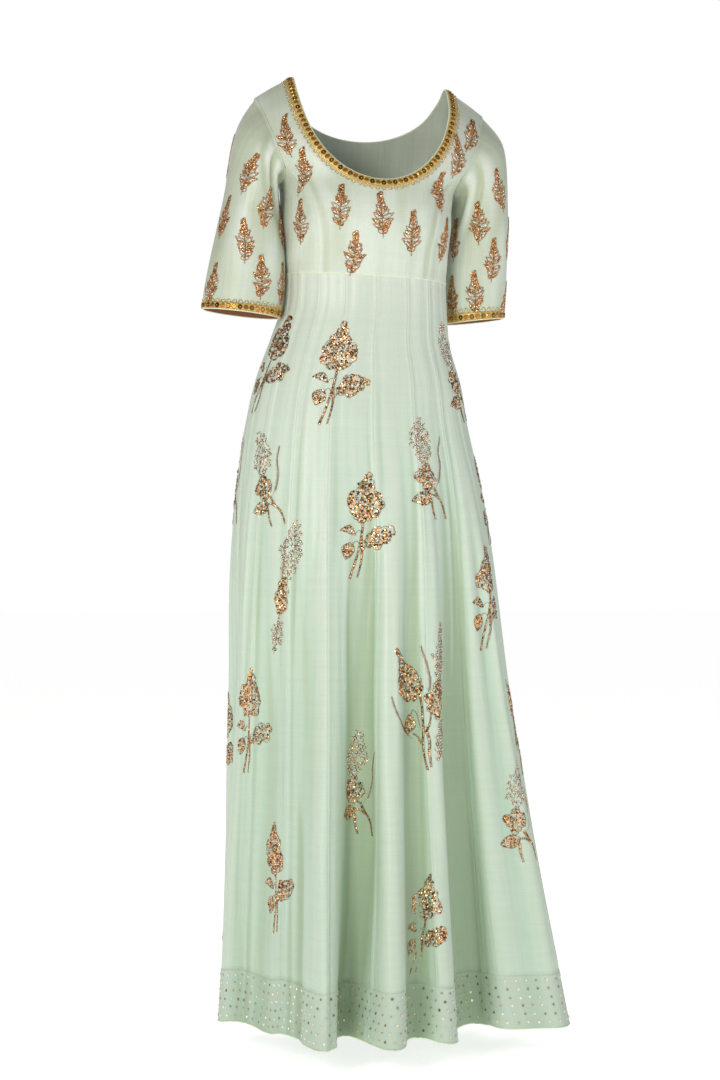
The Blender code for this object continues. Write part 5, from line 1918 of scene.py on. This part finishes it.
# %% [markdown]
# ## What each piece was cut to
# Every piece is a sheet of cloth. The UV map of a piece is its cut laid flat, in metres and without the
# seam allowances, so the widest place, the length and the area of the cut are read from it.


# %% Cut sizes
def cut_size(item):
    """Width, length and area of a piece laid flat; both of its layers carry the map."""
    layer = item.data.uv_layers["cloth"].data
    uv = np.empty(2 * len(layer))
    layer.foreach_get("uv", uv)
    corners = uv.reshape(-1, 4, 2)
    x, y = corners[..., 0], corners[..., 1]
    area = 0.25 * np.abs(np.sum(x * np.roll(y, -1, axis=1) - y * np.roll(x, -1, axis=1), axis=1)).sum()
    width, length = (round(float(side), 4) for side in np.ptp(uv.reshape(-1, 2), axis=0))
    return width, length, min(round(float(area), 6), width * length)


def sewn(*starts):
    """Trims whose names start so."""
    return [item for name, item in TRIMS.items() if name.startswith(starts)]


ON_IT = {
    "kali_01": sewn("skirt_front", "waist_piping"),
    "kali_07": sewn("skirt_left"),
    "kali_12": sewn("skirt_back"),
    "hem_band_1": sewn("band_dots", "hem_roll"),
    "bodice_front": sewn("bodice"),
    "sleeve_right": sewn("sleeve", "cuff_piping_right"),
    "sleeve_left": sewn("cuff_piping_left"),
    "neck_trim_front": sewn("neck_discs", "neck_beads", "neck_piping_front"),
    "neck_trim_back": sewn("neck_piping_back"),
    "cuff_trim_right": sewn("cuff_discs_right", "cuff_beads_right"),
    "cuff_trim_left": sewn("cuff_discs_left", "cuff_beads_left"),
}


for name, item in PIECES.items():
    width, length, area = cut_size(item)
    sewn_on = ON_IT.get(name, ())
    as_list(sewn_on)
    print(name, "cut", width, "by", length, "m,", round(area, 4), "m2")

# %% [markdown]
# ## Floor, light and camera
# The gown hangs over a plain pale floor, its hem a hand's breadth above it, in soft studio light: one large
# lamp in front and to the side, a weaker one to fill, and a pale room.

# %% Studio
FLOOR_Z, FLOOR_REACH = -1.502, 30
corners = [(FLOOR_REACH * x, FLOOR_REACH * y, FLOOR_Z) for x, y in ((-1, -1), (1, -1), (1, 1), (-1, 1))]
floor_mesh = bpy.data.meshes.new("studio_floor")
floor_mesh.from_pydata(corners, [], [(0, 1, 2, 3)])
floor = add_object("studio_floor", floor_mesh)
paper, tree = new_material("Studio paper")
look = {"Base Color": linear("#fbfbfa"), "Roughness": 0.9}
look |= {"Emission Color": linear("#ffffff"), "Emission Strength": 0.72}
show(tree, look)
floor_mesh.materials.append(paper)


def soft_lamp(name, spot, size, power, colour, target=(0.0, 0.0, -0.7)):
    """A square lamp that faces a point."""
    light = bpy.data.lights.new(name, "AREA")
    light.shape, light.size, light.energy = "SQUARE", size, power
    light.color = linear(colour)[:3]
    lamp = add_object(name, light)
    lamp.location = spot
    lamp.rotation_euler = (Vector(target) - Vector(spot)).to_track_quat("-Z", "Y").to_euler()


soft_lamp("key_lamp", (-2.9, -4.0, 0.6), 1.4, 104, "#fffcf6")
soft_lamp("fill_lamp", (3.2, -3.4, 0.2), 2.0, 30, "#f6f8ff")
soft_lamp("back_lamp", (1.2, 3.6, 1.6), 2.0, 26, "#ffffff", (0.0, 0.0, -0.6))
world = bpy.data.worlds.new("Pale room")
bpy.context.scene.world = world
world.use_nodes = True
tree = world.node_tree
tree.nodes.clear()
# The room seen past the gown is brighter than the light it throws, as a lit white wall far behind would be.
ROOM_LIGHT, ROOM_SEEN = 0.28, 1.0
seen = output(tree, "ShaderNodeLightPath")
strength = ranged(tree, seen, to=(ROOM_LIGHT, ROOM_SEEN))
room = node(tree, "ShaderNodeBackground", {"Color": linear("#ffffff"), "Strength": strength})
node(tree, "ShaderNodeOutputWorld", {"Surface": room.outputs["Background"]})
bpy.context.scene.view_settings.view_transform = "Standard"
print("three lamps and a pale room")

# %% Camera
camera_data = bpy.data.cameras.new("studio_camera")
camera = add_object("studio_camera", camera_data)
camera_data.sensor_fit = "VERTICAL"
camera_data.sensor_height = 24.0
camera_data.lens = 71.7
camera.location = (-1.053, -4.888, -0.710)
camera.rotation_euler = (math.radians(90), 0.0, math.radians(-12))
bpy.context.scene.camera = camera
print("camera 5 m away, turned 12 degrees")

# %% Finish
counts = [triangles(item) for item in (*PIECES.values(), *TRIMS.values())]
print(sum(counts), "triangles in all, at most", max(counts), "in a piece")
